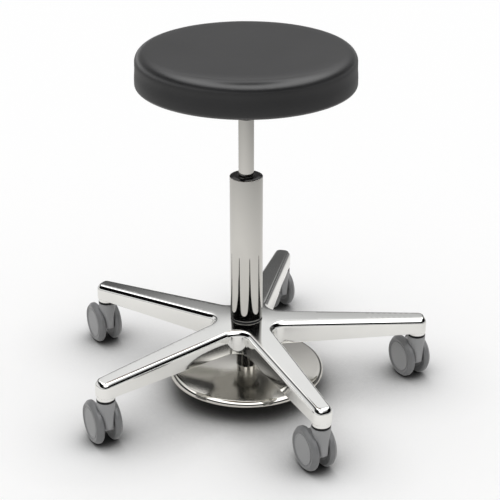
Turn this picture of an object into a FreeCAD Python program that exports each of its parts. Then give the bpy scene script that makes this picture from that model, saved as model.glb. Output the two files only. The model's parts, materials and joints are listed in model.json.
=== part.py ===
import FreeCAD, Part
import Sketcher
import math
import os

# Height-adjustable swivel stool: round padded seat on a gas spring, a chromed column on a
# five-arm base with twin-wheel casters, and a foot disc under the base that releases the
# gas spring.  Millimetres, +Z up, origin on the floor under the column's axis, arm 1 along +X.

# how near a point must be to count as on an edge or a face
ON_EDGE = 0.01
ON_FACE = 0.05

doc = FreeCAD.newDocument("SwivelStool")
sheet = doc.addObject("Spreadsheet::Sheet", "Sizes")

SIZES = {
    # clearances
    "running_gap": 0.05,
    "seat_gap": 0.3,
    "press_gap": 0.02,
    "cut_margin": 1.0,
    # casters
    "wheel_radius": 37.5,
    "wheel_width": 13.6,
    "wheel_inner_face": 9.4,
    "wheel_core_radius": 26.0,
    "wheel_core_recess": 1.2,
    "tread_outer_round": 5.0,
    "tread_inner_round": 2.0,
    "axle_radius": 3.0,
    "axle_half_length": 16.6,
    "caster_trail": 20.0,
    "caster_height": 85.0,
    "caster_neck_radius": 15.6,
    "caster_neck_length": 8.5,
    "caster_web_half_width": 8.5,
    "caster_fender_radius": 30.0,
    "caster_fender_skirt": 8.0,
    "caster_shield_front": 14.4,
    "caster_shield_drop": 49.0,
    "caster_shield_round": 6.0,
    "caster_taper_length": 26.0,
    "wheel_side_gap": 0.5,
    "wheel_arch_gap": 1.5,
    "stem_radius": 5.5,
    "stem_in_caster": 21.0,
    "stem_in_arm": 28.0,
    "collar_thickness": 3.7,
    "caster_heading": 292.0,
    # five-arm base
    "arm_count": 5,
    "caster_circle": 304.0,
    "boss_radius": 15.4,
    "boss_drop": 6.0,
    "arm_belly": 3.0,
    "arm_tip_depth": 29.0,
    "arm_tip_half_width": 16.4,
    "arm_tip_front": 15.2,
    "arm_tip_round": 13.0,
    "arm_root_half_width": 27.0,
    "crotch_radius": 23.0,
    "arm_edge_width": 5.3,
    "arm_edge_drop": 7.6,
    "arm_wall": 4.5,
    "arm_roof": 6.0,
    "channel_start": 66.0,
    "channel_end_wall": 8.0,
    "hub_height": 44.0,
    "hub_flat_radius": 40.0,
    "belly_radius": 60.0,
    # column
    "tube_radius": 28.0,
    "tube_wall": 2.0,
    "tube_length": 261.5,
    "tube_end_round": 1.2,
    "rim_round": 0.7,
    "ring_thickness": 2.5,
    "ring_inset": 0.6,
    "spigot_radius": 25.0,
    "spigot_length": 28.5,
    "foot_flange_height": 11.5,
    "bush_length": 65.0,
    "bush_flange_height": 3.0,
    "bush_crown": 0.6,
    "rim_wall": 1.0,
    # thrust bearing
    "washer_thickness": 2.0,
    "washer_radius": 11.0,
    "ball_count": 12,
    "ball_radius": 1.95,
    "ball_circle": 8.0,
    # gas spring
    "lift_down": 95.0,
    "lift_up": 35.0,
    "cylinder_radius": 13.0,
    "cylinder_wall": 1.5,
    "cylinder_length": 298.0,
    "cylinder_end": 6.0,
    "taper_length": 60.0,
    "taper_top_radius": 12.2,
    "gland_length": 12.0,
    "stop_gap": 2.0,
    "rod_radius": 5.0,
    "rod_collar_radius": 8.0,
    "rod_collar_height": 5.0,
    "piston_length": 14.0,
    "rod_tail": 2.6,
    "clip_thickness": 1.5,
    "clip_radius": 6.5,
    "valve_pin_radius": 1.5,
    "valve_pin_length": 180.0,
    "valve_lift": 3.2,
    # foot release
    "press_travel": 7.0,
    "guide_radius": 9.0,
    "guide_wall": 2.0,
    "guide_flange_thickness": 3.0,
    "guide_flange_radius": 24.0,
    "guide_bottom": 15.0,
    "sleeve_radius": 17.5,
    "sleeve_bottom": 32.0,
    "sleeve_flange_radius": 23.0,
    "sleeve_flange_thickness": 2.5,
    "disc_radius": 135.7,
    "disc_bottom": 32.2,
    "disc_skirt": 8.6,
    "disc_roll": 8.0,
    "disc_rise": 2.5,
    "disc_thickness": 2.0,
    "rocker_pivot_x": 4.5,
    "rocker_half_width": 2.0,
    "rocker_half_depth": 1.5,
    "rocker_inner_reach": 6.3,
    "rocker_outer_reach": 15.5,
    "rocker_nose_radius": 2.0,
    "rocker_nose_rise": 1.7,
    "rocker_crank": 1.5,
    "rocker_side_gap": 0.6,
    "rocker_pin_radius": 1.25,
    "rocker_pin_half_length": 6.3,
    "nut_radius": 14.0,
    "nut_height": 4.0,
    "spring_radius": 11.3,
    "spring_wire": 0.6,
    "spring_turns": 3.5,
    # seat
    "plate_half_side": 80.0,
    "plate_corner": 14.0,
    "plate_thickness": 4.0,
    "socket_bottom_radius": 14.9,
    "socket_top_radius": 19.0,
    "socket_flare_radius": 30.0,
    "socket_flare_height": 12.0,
    "socket_edge": 1.0,
    "screw_count": 4,
    "screw_circle": 85.0,
    "screw_radius": 3.0,
    "screw_head_radius": 5.2,
    "screw_head_height": 3.3,
    "screw_length": 14.0,
    "tee_barrel_radius": 4.2,
    "tee_flange_radius": 9.0,
    "tee_flange_thickness": 1.4,
    "board_thickness": 12.0,
    "cushion_radius": 180.0,
    "cushion_thickness": 58.0,
    "cushion_top_round": 14.5,
    "cushion_bottom_round": 5.6,
    "cover_thickness": 1.5,
    "cover_lip": 30.0,
}

for row, (name, number) in enumerate(SIZES.items(), start=1):
    sheet.set(f"A{row}", name)
    sheet.set(f"B{row}", str(number))
    sheet.setAlias(f"B{row}", name)
doc.recompute()


def s(name):
    """The expression that reads one cell of the sheet."""
    return f"Sizes.{name}"


def value(expression):
    """What an expression comes to now, as a plain number."""
    return float(sheet.evalExpression(str(expression)))


# Heights and radii that follow from the sheet, from the floor up.
collar_bottom = f"({s('caster_height')} + {s('seat_gap')})"
boss_bottom = f"({collar_bottom} + {s('collar_thickness')})"
arm_bottom = f"({boss_bottom} + {s('boss_drop')})"
arm_top = f"({arm_bottom} + {s('arm_tip_depth')})"
hub_bottom = f"({arm_bottom} - {s('arm_belly')})"
hub_top = f"({hub_bottom} + {s('hub_height')})"
arm_reach = f"({s('caster_circle')} + 2 * {s('arm_tip_half_width')})"
tube_bottom = f"({hub_top} + {s('ring_thickness')})"
tube_top = f"({tube_bottom} + {s('tube_length')})"
tube_bore = f"({s('tube_radius')} - {s('tube_wall')})"
spigot_bottom = f"({tube_bottom} - {s('spigot_length')})"
foot_top = f"({tube_bottom} + {s('foot_flange_height')})"
ball_bottom = f"({foot_top} + {s('washer_thickness')})"
ball_centre = f"({ball_bottom} + {s('ball_radius')} + {s('running_gap')})"
upper_washer = f"({ball_centre} + {s('ball_radius')} + {s('running_gap')})"
rod_collar = f"({upper_washer} + {s('washer_thickness')})"
rod_collar_top = f"({rod_collar} + {s('rod_collar_height')})"
rod_bore = f"({s('valve_pin_radius')} + {s('running_gap')})"
rod_end = f"({spigot_bottom} - {s('rod_tail')})"
cylinder_bottom = f"({rod_collar_top} + {s('lift_down')} + 3 * {s('stop_gap')})"
cylinder_top = f"({cylinder_bottom} + {s('cylinder_length')})"
cylinder_bore = f"({s('cylinder_radius')} - {s('cylinder_wall')})"
taper_bottom = f"({cylinder_top} - {s('taper_length')})"
piston_bottom = f"({cylinder_bottom} + {s('gland_length')} + {s('lift_up')} + {s('stop_gap')})"
piston_top = f"({piston_bottom} + {s('piston_length')})"
board_bottom = cylinder_top
board_top = f"({board_bottom} + {s('board_thickness')})"
plate_bottom = f"({board_bottom} - {s('plate_thickness')})"
cushion_bottom = f"({board_bottom} - {s('seat_gap')} - {s('cover_thickness')})"
cushion_top = f"({cushion_bottom} + {s('cushion_thickness')})"
cover_bore = f"({s('cushion_radius')} - {s('cover_thickness')})"
guide_flange_bottom = f"({spigot_bottom} - {s('guide_flange_thickness')})"
guide_bore = f"({s('guide_radius')} - {s('guide_wall')})"
sleeve_top = f"({guide_flange_bottom} - {s('seat_gap')})"
sleeve_flange_bottom = f"({sleeve_top} - {s('sleeve_flange_thickness')})"
sleeve_bore = f"({s('guide_radius')} + {s('running_gap')})"
pivot_height = (f"({sleeve_flange_bottom} - {s('seat_gap')} - {s('rocker_nose_radius')}"
                f" - {s('rocker_nose_rise')})")
valve_pin_bottom = f"({pivot_height} + {s('rocker_half_depth')} + {s('seat_gap')})"
disc_edge = f"({s('disc_bottom')} + {s('disc_skirt')})"
disc_crown = f"({disc_edge} + {s('disc_rise')})"
nut_top = f"({s('guide_bottom')} + {s('nut_height')})"


# ---------------------------------------------------------------- sketch and solid helpers

def plane_of(body, role):
    """One of a body's own origin planes."""
    for feature in body.Origin.OriginFeatures:
        if feature.Role == role:
            return feature
    raise ValueError(role)


def sketch_on(body, role, name, height=None):
    """An empty sketch on an origin plane of the body, moved along its normal by height."""
    sketch = body.newObject("Sketcher::SketchObject", name)
    sketch.AttachmentSupport = [(plane_of(body, role), "")]
    sketch.MapMode = "FlatFace"
    if height is not None:
        sketch.setExpression(".AttachmentOffset.Base.z", height)
    return sketch


def fix_point(sketch, curve, end, across, up):
    """Holds one point of a curve at two expressions, counted from the sketch's origin."""
    for kind, axis, expression in (("DistanceX", -2, across), ("DistanceY", -1, up)):
        number = value(expression)
        if abs(number) < 1e-9:
            sketch.addConstraint(Sketcher.Constraint("PointOnObject", curve, end, axis))
            continue
        index = sketch.addConstraint(Sketcher.Constraint(kind, -1, 1, curve, end, number))
        sketch.setExpression(f"Constraints[{index}]", expression)


def direction(start, end):
    length = math.hypot(end[0] - start[0], end[1] - start[1])
    return ((end[0] - start[0]) / length, (end[1] - start[1]) / length)


def draw_outline(sketch, corners):
    """A closed outline.  A corner is (across, up), or (across, up, round) where two square
    sides meet in a quarter circle."""
    spots = [(value(corner[0]), value(corner[1])) for corner in corners]
    count = len(corners)
    ends = []
    for index, corner in enumerate(corners):
        here = spots[index]
        back = direction(here, spots[index - 1])
        ahead = direction(here, spots[(index + 1) % count])
        if len(corner) == 2:
            ends.append((None, here, here))
            continue
        radius = value(corner[2])
        lead = (here[0] + back[0] * radius, here[1] + back[1] * radius)
        leave = (here[0] + ahead[0] * radius, here[1] + ahead[1] * radius)
        side = [round(back[axis] + ahead[axis]) for axis in (0, 1)]
        ends.append((side, lead, leave))
    lines = []
    for index in range(count):
        start = FreeCAD.Vector(*ends[index][2], 0)
        end = FreeCAD.Vector(*ends[(index + 1) % count][1], 0)
        lines.append(sketch.addGeometry(Part.LineSegment(start, end)))
    for index, corner in enumerate(corners):
        side, lead, leave = ends[index]
        before = lines[index - 1]
        after = lines[index]
        if side is None:
            sketch.addConstraint(Sketcher.Constraint("Coincident", before, 2, after, 1))
            fix_point(sketch, after, 1, corner[0], corner[1])
            continue
        radius = value(corner[2])
        middle = (spots[index][0] + side[0] * radius, spots[index][1] + side[1] * radius)
        turn = [math.atan2(end[1] - middle[1], end[0] - middle[0]) for end in (lead, leave)]
        forward = (turn[1] - turn[0]) % (2 * math.pi) < math.pi
        first, last = (turn[0], turn[1]) if forward else (turn[1], turn[0])
        circle = Part.Circle(FreeCAD.Vector(*middle, 0), FreeCAD.Vector(0, 0, 1), radius)
        arc = sketch.addGeometry(Part.ArcOfCircle(circle, first, last))
        lead_end, leave_end = (1, 2) if forward else (2, 1)
        sketch.addConstraint(Sketcher.Constraint("Coincident", before, 2, arc, lead_end))
        sketch.addConstraint(Sketcher.Constraint("Coincident", after, 1, arc, leave_end))
        for end, spot in ((lead_end, lead), (leave_end, leave)):
            upright = abs(spot[0] - middle[0]) < abs(spot[1] - middle[1])
            kind = "Vertical" if upright else "Horizontal"
            sketch.addConstraint(Sketcher.Constraint(kind, arc, 3, arc, end))
        across, up = [f"({corner[axis]} + {side[axis]} * {corner[2]})" for axis in (0, 1)]
        fix_point(sketch, arc, 3, across, up)
        index_radius = sketch.addConstraint(Sketcher.Constraint("Radius", arc, radius))
        sketch.setExpression(f"Constraints[{index_radius}]", corner[2])


def revolve_into(body, name, corners, kind="PartDesign::Revolution"):
    """Turns an outline of (radius, height) corners about the body's Z axis."""
    sketch = sketch_on(body, "XZ_Plane", name + "_outline")
    draw_outline(sketch, corners)
    turn = body.newObject(kind, name)
    turn.Profile = sketch
    turn.ReferenceAxis = (sketch, ["V_Axis"])
    turn.Angle = 360
    sketch.Visibility = False
    body.Tip = turn
    return turn


def turned(label, corners):
    """A turned piece, from the outline of half its section."""
    body = doc.addObject("PartDesign::Body", label)
    revolve_into(body, label + "_turn", corners)
    return body


def ring(label, inner, outer, bottom, top):
    return turned(label, [(inner, bottom), (outer, bottom), (outer, top), (inner, top)])


def circle_sketch(body, name, radius, across, height):
    """A circle on the XY plane, raised to height, with its centre on the X axis."""
    sketch = sketch_on(body, "XY_Plane", name, height)
    centre = FreeCAD.Vector(value(across), 0, 0)
    round_one = Part.Circle(centre, FreeCAD.Vector(0, 0, 1), value(radius))
    curve = sketch.addGeometry(round_one)
    fix_point(sketch, curve, 3, across, "0")
    index = sketch.addConstraint(Sketcher.Constraint("Radius", curve, value(radius)))
    sketch.setExpression(f"Constraints[{index}]", radius)
    return sketch


def pad(body, name, sketch, length):
    feature = body.newObject("PartDesign::Pad", name)
    feature.Profile = sketch
    feature.setExpression("Length", length)
    body.Tip = feature
    return feature


def pocket_up(body, name, sketch, length):
    """Cuts from the sketch upwards."""
    feature = body.newObject("PartDesign::Pocket", name)
    feature.Profile = sketch
    feature.Reversed = True
    feature.setExpression("Length", length)
    body.Tip = feature
    return feature


def around(body, name, feature, sketch, count):
    """Repeats a feature around the sketch's normal."""
    pattern = body.newObject("PartDesign::PolarPattern", name)
    pattern.Originals = [feature]
    pattern.Axis = (sketch, ["N_Axis"])
    pattern.Angle = 360
    pattern.setExpression("Occurrences", count)
    body.Tip = pattern
    return pattern


def edges_where(shape, test):
    """Names of the edges whose sampled points all pass the test."""
    names = []
    for number, edge in enumerate(shape.Edges, start=1):
        first, last = edge.ParameterRange
        steps = (first + (last - first) * part / 4 for part in range(5))
        if all(test(edge.valueAt(step)) for step in steps):
            names.append(f"Edge{number}")
    return names


def cylinder(name, radius, height, bottom, across="0", along="0"):
    """An upright Part cylinder."""
    solid = doc.addObject("Part::Cylinder", name)
    solid.setExpression("Radius", radius)
    solid.setExpression("Height", height)
    for axis, expression in (("x", across), ("y", along), ("z", bottom)):
        solid.setExpression(f".Placement.Base.{axis}", expression)
    return solid


def cross_cylinder(name, radius, half_length, across, height, start=None):
    """A Part cylinder along Y, from start (or -half_length) to half_length."""
    solid = doc.addObject("Part::Cylinder", name)
    first = f"(-{half_length})" if start is None else start
    solid.setExpression("Radius", radius)
    solid.setExpression("Height", f"{half_length} - {first}")
    solid.Placement.Rotation = FreeCAD.Rotation(FreeCAD.Vector(1, 0, 0), -90)
    for axis, expression in (("x", across), ("y", first), ("z", height)):
        solid.setExpression(f".Placement.Base.{axis}", expression)
    return solid


def cone(name, bottom_radius, top_radius, height, bottom):
    solid = doc.addObject("Part::Cone", name)
    solid.setExpression("Radius1", bottom_radius)
    solid.setExpression("Radius2", top_radius)
    solid.setExpression("Height", height)
    solid.setExpression(".Placement.Base.z", bottom)
    return solid


def box(name, low, high):
    """A Part box between two corners of expressions."""
    solid = doc.addObject("Part::Box", name)
    for index, (side, axis) in enumerate((("Length", "x"), ("Width", "y"), ("Height", "z"))):
        solid.setExpression(side, f"({high[index]}) - ({low[index]})")
        solid.setExpression(f".Placement.Base.{axis}", low[index])
    return solid


def fuse(label, pieces):
    joined = doc.addObject("Part::MultiFuse", label)
    joined.Shapes = pieces
    joined.Refine = True
    return joined


def cut(label, base, tool):
    less = doc.addObject("Part::Cut", label)
    less.Base = base
    less.Tool = tool
    less.Refine = True
    return less


def group(label, pieces):
    """Identical loose pieces that share one node."""
    compound = doc.addObject("Part::Compound", label)
    compound.Links = pieces
    return compound


def spot_on_circle(radius, turn):
    """X and Y expressions of a spot on a circle about the column, turn in degrees."""
    return (f"{radius} * cos({turn} * 1 deg)", f"{radius} * sin({turn} * 1 deg)")


def tapered_radius(height):
    """The gas cylinder's radius at a height on its taper."""
    slope = f"({s('cylinder_radius')} - {s('taper_top_radius')}) / {s('taper_length')}"
    return f"({s('cylinder_radius')} - {slope} * ({height} - {taper_bottom}))"


# ---------------------------------------------------------------- seat

def make_seat():
    lip = f"({s('cushion_radius')} - {s('cover_lip')})"
    inner_top = f"({cushion_top} - {s('cover_thickness')})"
    inner_bottom = f"({cushion_bottom} + {s('cover_thickness')})"
    top_round = s("cushion_top_round")
    bottom_round = s("cushion_bottom_round")
    inner_top_round = f"({top_round} - {s('cover_thickness')})"
    inner_bottom_round = f"({bottom_round} - {s('cover_thickness')})"
    cover = turned("seat_cover", [
        (lip, cushion_bottom),
        (s("cushion_radius"), cushion_bottom, bottom_round),
        (s("cushion_radius"), cushion_top, top_round),
        ("0", cushion_top),
        ("0", inner_top),
        (cover_bore, inner_top, inner_top_round),
        (cover_bore, inner_bottom, inner_bottom_round),
        (lip, inner_bottom),
    ])
    inside = f"({cover_bore} - {s('seat_gap')})"
    foam_bottom = f"({board_top} + {s('seat_gap')})"
    foam_top = f"({inner_top} - {s('seat_gap')})"
    foam = turned("seat_foam", [
        ("0", foam_bottom),
        (inside, foam_bottom),
        (inside, foam_top, inner_top_round),
        ("0", foam_top),
    ])
    return [cover, foam, make_board(f"({inside} - {bottom_round} / 2)")] + make_fasteners()


def screw_spots():
    count = int(SIZES["screw_count"])
    half_step = 180 / count
    return [spot_on_circle(s("screw_circle"), half_step * (2 * turn + 1)) for turn in range(count)]


def make_board(radius):
    blank = cylinder("board_blank", radius, s("board_thickness"), board_bottom)
    barrel = f"({s('tee_barrel_radius')} + {s('press_gap')})"
    flange = f"({s('tee_flange_radius')} + {s('press_gap')})"
    recess = f"({board_top} - {s('tee_flange_thickness')})"
    holes = []
    for number, (across, along) in enumerate(screw_spots(), start=1):
        holes.append(cylinder(f"board_hole_{number}", barrel, s("board_thickness"),
                              board_bottom, across, along))
        holes.append(cylinder(f"board_recess_{number}", flange, s("tee_flange_thickness"),
                              recess, across, along))
    return cut("seat_board", blank, fuse("board_holes", holes))


def make_fasteners():
    """The four screws that hold the seat plate, and the tee nuts they turn into."""
    screws = []
    nuts = []
    recess = f"({board_top} - {s('tee_flange_thickness')})"
    barrel_length = f"({s('board_thickness')} - {s('tee_flange_thickness')} - {s('stop_gap')})"
    barrel_bottom = f"({recess} - {barrel_length})"
    bore = f"({s('screw_radius')} + {s('press_gap')})"
    for number, (across, along) in enumerate(screw_spots(), start=1):
        head = cylinder(f"screw_head_{number}", s("screw_head_radius"), s("screw_head_height"),
                        f"({plate_bottom} - {s('screw_head_height')})", across, along)
        shank = cylinder(f"screw_shank_{number}", s("screw_radius"), s("screw_length"),
                         plate_bottom, across, along)
        screws.append(fuse(f"screw_{number}", [head, shank]))
        barrel = cylinder(f"tee_barrel_{number}", s("tee_barrel_radius"), barrel_length,
                          barrel_bottom, across, along)
        flange = cylinder(f"tee_flange_{number}", s("tee_flange_radius"),
                          s("tee_flange_thickness"), recess, across, along)
        hole = cylinder(f"tee_hole_{number}", bore, s("board_thickness"),
                        barrel_bottom, across, along)
        nuts.append(cut(f"tee_{number}", fuse(f"tee_blank_{number}", [barrel, flange]), hole))
    return [group("seat_screws", screws), group("seat_tee_nuts", nuts)]


def make_seat_plate():
    """The square plate under the board and the tapered socket that takes the gas cylinder."""
    half = s("plate_half_side")
    corner = s("plate_corner")
    blank = doc.addObject("PartDesign::Body", "plate_blank")
    sketch = sketch_on(blank, "XY_Plane", "plate_outline", plate_bottom)
    draw_outline(sketch, [(f"(-{half})", f"(-{half})", corner), (half, f"(-{half})", corner),
                          (half, half, corner), (f"(-{half})", half, corner)])
    pad(blank, "plate_pad", sketch, s("plate_thickness"))
    bore = f"({tapered_radius(plate_bottom)} + {s('press_gap')})"
    holes = [cylinder("plate_bore", bore, s("plate_thickness"), plate_bottom)]
    screw_hole = f"({s('screw_radius')} + {s('seat_gap')})"
    for number, (across, along) in enumerate(screw_spots(), start=1):
        holes.append(cylinder(f"plate_hole_{number}", screw_hole, s("plate_thickness"),
                              plate_bottom, across, along))
    plate = cut("seat_plate", blank, fuse("plate_holes", holes))
    flare = f"({plate_bottom} - {s('socket_flare_height')})"
    edge = s("socket_edge")
    socket = turned("seat_socket", [
        (f"({s('cylinder_radius')} + {s('press_gap')})", taper_bottom),
        (f"({s('socket_bottom_radius')} - {edge})", taper_bottom),
        (s("socket_bottom_radius"), f"({taper_bottom} + {edge})"),
        (s("socket_top_radius"), flare),
        (s("socket_flare_radius"), plate_bottom),
        (bore, plate_bottom),
    ])
    return [plate, socket]


# ---------------------------------------------------------------- gas spring

def make_gas_spring():
    cylinder_inner_end = f"({cylinder_top} - {s('cylinder_end')})"
    tube = turned("gas_cylinder", [
        (cylinder_bore, cylinder_bottom),
        (s("cylinder_radius"), cylinder_bottom),
        (s("cylinder_radius"), taper_bottom),
        (s("taper_top_radius"), cylinder_top),
        ("0", cylinder_top),
        ("0", cylinder_inner_end),
        (cylinder_bore, cylinder_inner_end),
    ])
    rod_hole = f"({s('rod_radius')} + {s('running_gap')})"
    gland = ring("cylinder_gland", rod_hole, f"({cylinder_bore} - {s('press_gap')})",
                 cylinder_bottom, f"({cylinder_bottom} + {s('gland_length')})")
    bore_top = (f"({valve_pin_bottom} + {s('valve_pin_length')} + {s('valve_lift')}"
                f" + {s('stop_gap')})")
    rod = turned("piston_rod", [
        (rod_bore, rod_end),
        (s("rod_radius"), rod_end),
        (s("rod_radius"), rod_collar),
        (s("rod_collar_radius"), rod_collar),
        (s("rod_collar_radius"), rod_collar_top),
        (s("rod_radius"), rod_collar_top),
        (s("rod_radius"), piston_top),
        ("0", piston_top),
        ("0", bore_top),
        (rod_bore, bore_top),
    ])
    on_rod = f"({s('rod_radius')} + {s('press_gap')})"
    piston = ring("piston", on_rod, f"({cylinder_bore} - {s('running_gap')})",
                  piston_bottom, piston_top)
    clip_top = f"({spigot_bottom} - {s('seat_gap')})"
    clip = ring("rod_clip", on_rod, s("clip_radius"),
                f"({clip_top} - {s('clip_thickness')})", clip_top)
    pin = cylinder("valve_pin", s("valve_pin_radius"), s("valve_pin_length"), valve_pin_bottom)
    return [tube, gland, rod, piston, clip, pin]


def make_thrust_bearing():
    rod_hole = f"({s('rod_radius')} + {s('running_gap')})"
    lower = ring("thrust_washer_lower", rod_hole, s("washer_radius"), foot_top, ball_bottom)
    upper = ring("thrust_washer_upper", f"({s('rod_radius')} + {s('press_gap')})",
                 s("washer_radius"), upper_washer, rod_collar)
    balls = []
    count = int(SIZES["ball_count"])
    for number in range(count):
        across, along = spot_on_circle(s("ball_circle"), 360 / count * number)
        ball = doc.addObject("Part::Sphere", f"ball_{number + 1}")
        ball.setExpression("Radius", s("ball_radius"))
        for axis, expression in (("x", across), ("y", along), ("z", ball_centre)):
            ball.setExpression(f".Placement.Base.{axis}", expression)
        balls.append(ball)
    return [lower, upper, group("thrust_balls", balls)]


# ---------------------------------------------------------------- column

def make_column():
    rim = f"({s('tube_radius')} - {s('rim_wall')})"
    step = f"({tube_top} - {s('bush_flange_height')})"
    tube = turned("column_tube", [
        (tube_bore, tube_bottom),
        (s("tube_radius"), tube_bottom, s("tube_end_round")),
        (s("tube_radius"), tube_top, s("rim_round")),
        (rim, tube_top),
        (rim, step),
        (tube_bore, step),
    ])
    in_bore = f"({tube_bore} - {s('running_gap')})"
    in_rim = f"({rim} - {s('running_gap')})"
    slide = f"({s('cylinder_radius')} + {s('running_gap')})"
    crown = f"({tube_top} + {s('bush_crown')})"
    bush_bottom = f"({tube_top} - {s('bush_length')})"
    bush = turned("guide_bush", [
        (slide, bush_bottom),
        (in_bore, bush_bottom),
        (in_bore, step),
        (in_rim, step),
        (in_rim, tube_top),
        (f"({slide} + ({in_rim} - {slide}) / 2)", crown),
        (slide, crown),
    ])
    rod_hole = f"({s('rod_radius')} + {s('running_gap')})"
    foot = turned("column_foot", [
        (rod_hole, spigot_bottom),
        (s("spigot_radius"), spigot_bottom),
        (s("spigot_radius"), tube_bottom),
        (in_bore, tube_bottom),
        (in_bore, foot_top),
        (rod_hole, foot_top),
    ])
    seal = ring("column_ring", f"({s('spigot_radius')} + {s('running_gap')})",
                f"({s('tube_radius')} - {s('ring_inset')})", hub_top, tube_bottom)
    return [tube, bush, foot, seal]


# ---------------------------------------------------------------- five-arm base

def arm_half_width(radius):
    """Half the arm's width at a radius from the column."""
    taper = f"({s('arm_root_half_width')} - {s('arm_tip_half_width')}) / {s('caster_circle')}"
    return f"({s('arm_root_half_width')} - {taper} * {radius})"


def arm_sketch(body):
    """One arm in plan: a long taper from the column's axis to a square front."""
    sketch = sketch_on(body, "XY_Plane", "arm_outline", hub_bottom)
    front = f"({s('caster_circle')} + {s('arm_tip_front')})"
    root = s("arm_root_half_width")
    tip = arm_half_width(front)
    draw_outline(sketch, [("0", f"(-{root})"), (front, f"(-{tip})"), (front, tip), ("0", root)])
    return sketch


def round_uprights(body, name, radius, test):
    """Rounds the full-height edges of a body whose distances from the axis pass a test."""
    whole = body.Tip
    tall = value(s("hub_height"))
    near = edges_where(whole.Shape, lambda point: test(math.hypot(point.x, point.y)))
    rounding = body.newObject("PartDesign::Fillet", name)
    rounding.Base = (whole, [edge for edge in near
                             if abs(whole.Shape.getElement(edge).BoundBox.ZLength - tall) < ON_EDGE])
    rounding.setExpression("Radius", radius)
    body.Tip = rounding
    doc.recompute()


def make_star_base():
    base = doc.addObject("PartDesign::Body", "star_base")
    outline = arm_sketch(base)
    first_arm = pad(base, "arm", outline, s("hub_height"))
    around(base, "arms", first_arm, outline, s("arm_count"))
    doc.recompute()
    circle = value(s("caster_circle"))
    round_uprights(base, "tip_corners", s("arm_tip_round"), lambda radius: radius > circle)
    round_uprights(base, "crotches", s("crotch_radius"), lambda radius: radius < circle / 2)

    fall = (f"(({hub_top} - {arm_top}) / ({s('caster_circle')} - {s('hub_flat_radius')}))")
    reach_top = f"({hub_top} - {fall} * ({arm_reach} - {s('hub_flat_radius')}))"
    above = f"({hub_top} + {s('hub_height')})"
    revolve_into(base, "top_slope", [
        (s("hub_flat_radius"), hub_top),
        (arm_reach, reach_top),
        (arm_reach, above),
        (s("hub_flat_radius"), above),
    ], "PartDesign::Groove")
    doc.recompute()

    slope = value(fall)
    top_level = value(hub_top)
    flat_radius = value(s("hub_flat_radius"))

    def on_top_rim(point):
        radius = math.hypot(point.x, point.y)
        surface = top_level - slope * (radius - flat_radius)
        return radius > flat_radius + ON_FACE and abs(point.z - surface) < ON_FACE

    sloped = base.Tip
    bevel = base.newObject("PartDesign::Chamfer", "top_bevel")
    bevel.Base = (sloped, edges_where(sloped.Shape, on_top_rim))
    bevel.ChamferType = "Two distances"
    bevel.setExpression("Size", s("arm_edge_drop"))
    bevel.setExpression("Size2", s("arm_edge_width"))
    base.Tip = bevel

    rise = f"({s('arm_belly')} / ({s('caster_circle')} - {s('belly_radius')}))"
    reach_bottom = f"({hub_bottom} + {rise} * ({arm_reach} - {s('belly_radius')}))"
    below = f"({hub_bottom} - {s('hub_height')})"
    revolve_into(base, "belly", [
        (s("belly_radius"), below),
        (arm_reach, below),
        (arm_reach, reach_bottom),
        (s("belly_radius"), hub_bottom),
    ], "PartDesign::Groove")

    channel_end = (f"({s('caster_circle')} - {s('arm_tip_half_width')}"
                   f" - {s('channel_end_wall')})")
    channel_roof = f"({arm_top} - {s('arm_roof')} - {hub_bottom})"
    near = f"({arm_half_width(s('channel_start'))} - {s('arm_wall')})"
    far = f"({arm_half_width(channel_end)} - {s('arm_wall')})"
    channel_sketch = sketch_on(base, "XY_Plane", "channel_outline", hub_bottom)
    draw_outline(channel_sketch, [
        (s("channel_start"), f"(-{near})"),
        (channel_end, f"(-{far})"),
        (channel_end, far),
        (s("channel_start"), near),
    ])
    channel = pocket_up(base, "channel", channel_sketch, channel_roof)
    around(base, "channels", channel, channel_sketch, s("arm_count"))

    boss_sketch = circle_sketch(base, "boss_outline", s("boss_radius"), s("caster_circle"),
                                boss_bottom)
    boss = pad(base, "boss", boss_sketch, f"({s('boss_drop')} + {s('stop_gap')})")
    around(base, "bosses", boss, boss_sketch, s("arm_count"))
    hole_sketch = circle_sketch(base, "stem_hole_outline",
                                f"({s('stem_radius')} + {s('press_gap')})",
                                s("caster_circle"), boss_bottom)
    hole = pocket_up(base, "stem_hole", hole_sketch, f"({s('stem_in_arm')} + {s('seat_gap')})")
    around(base, "stem_holes", hole, hole_sketch, s("arm_count"))

    bore = f"({s('spigot_radius')} + {s('running_gap')})"
    revolve_into(base, "hub_bore", [
        ("0", below), (bore, below), (bore, above), ("0", above),
    ], "PartDesign::Groove")
    return [base]


# ---------------------------------------------------------------- foot release

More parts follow.
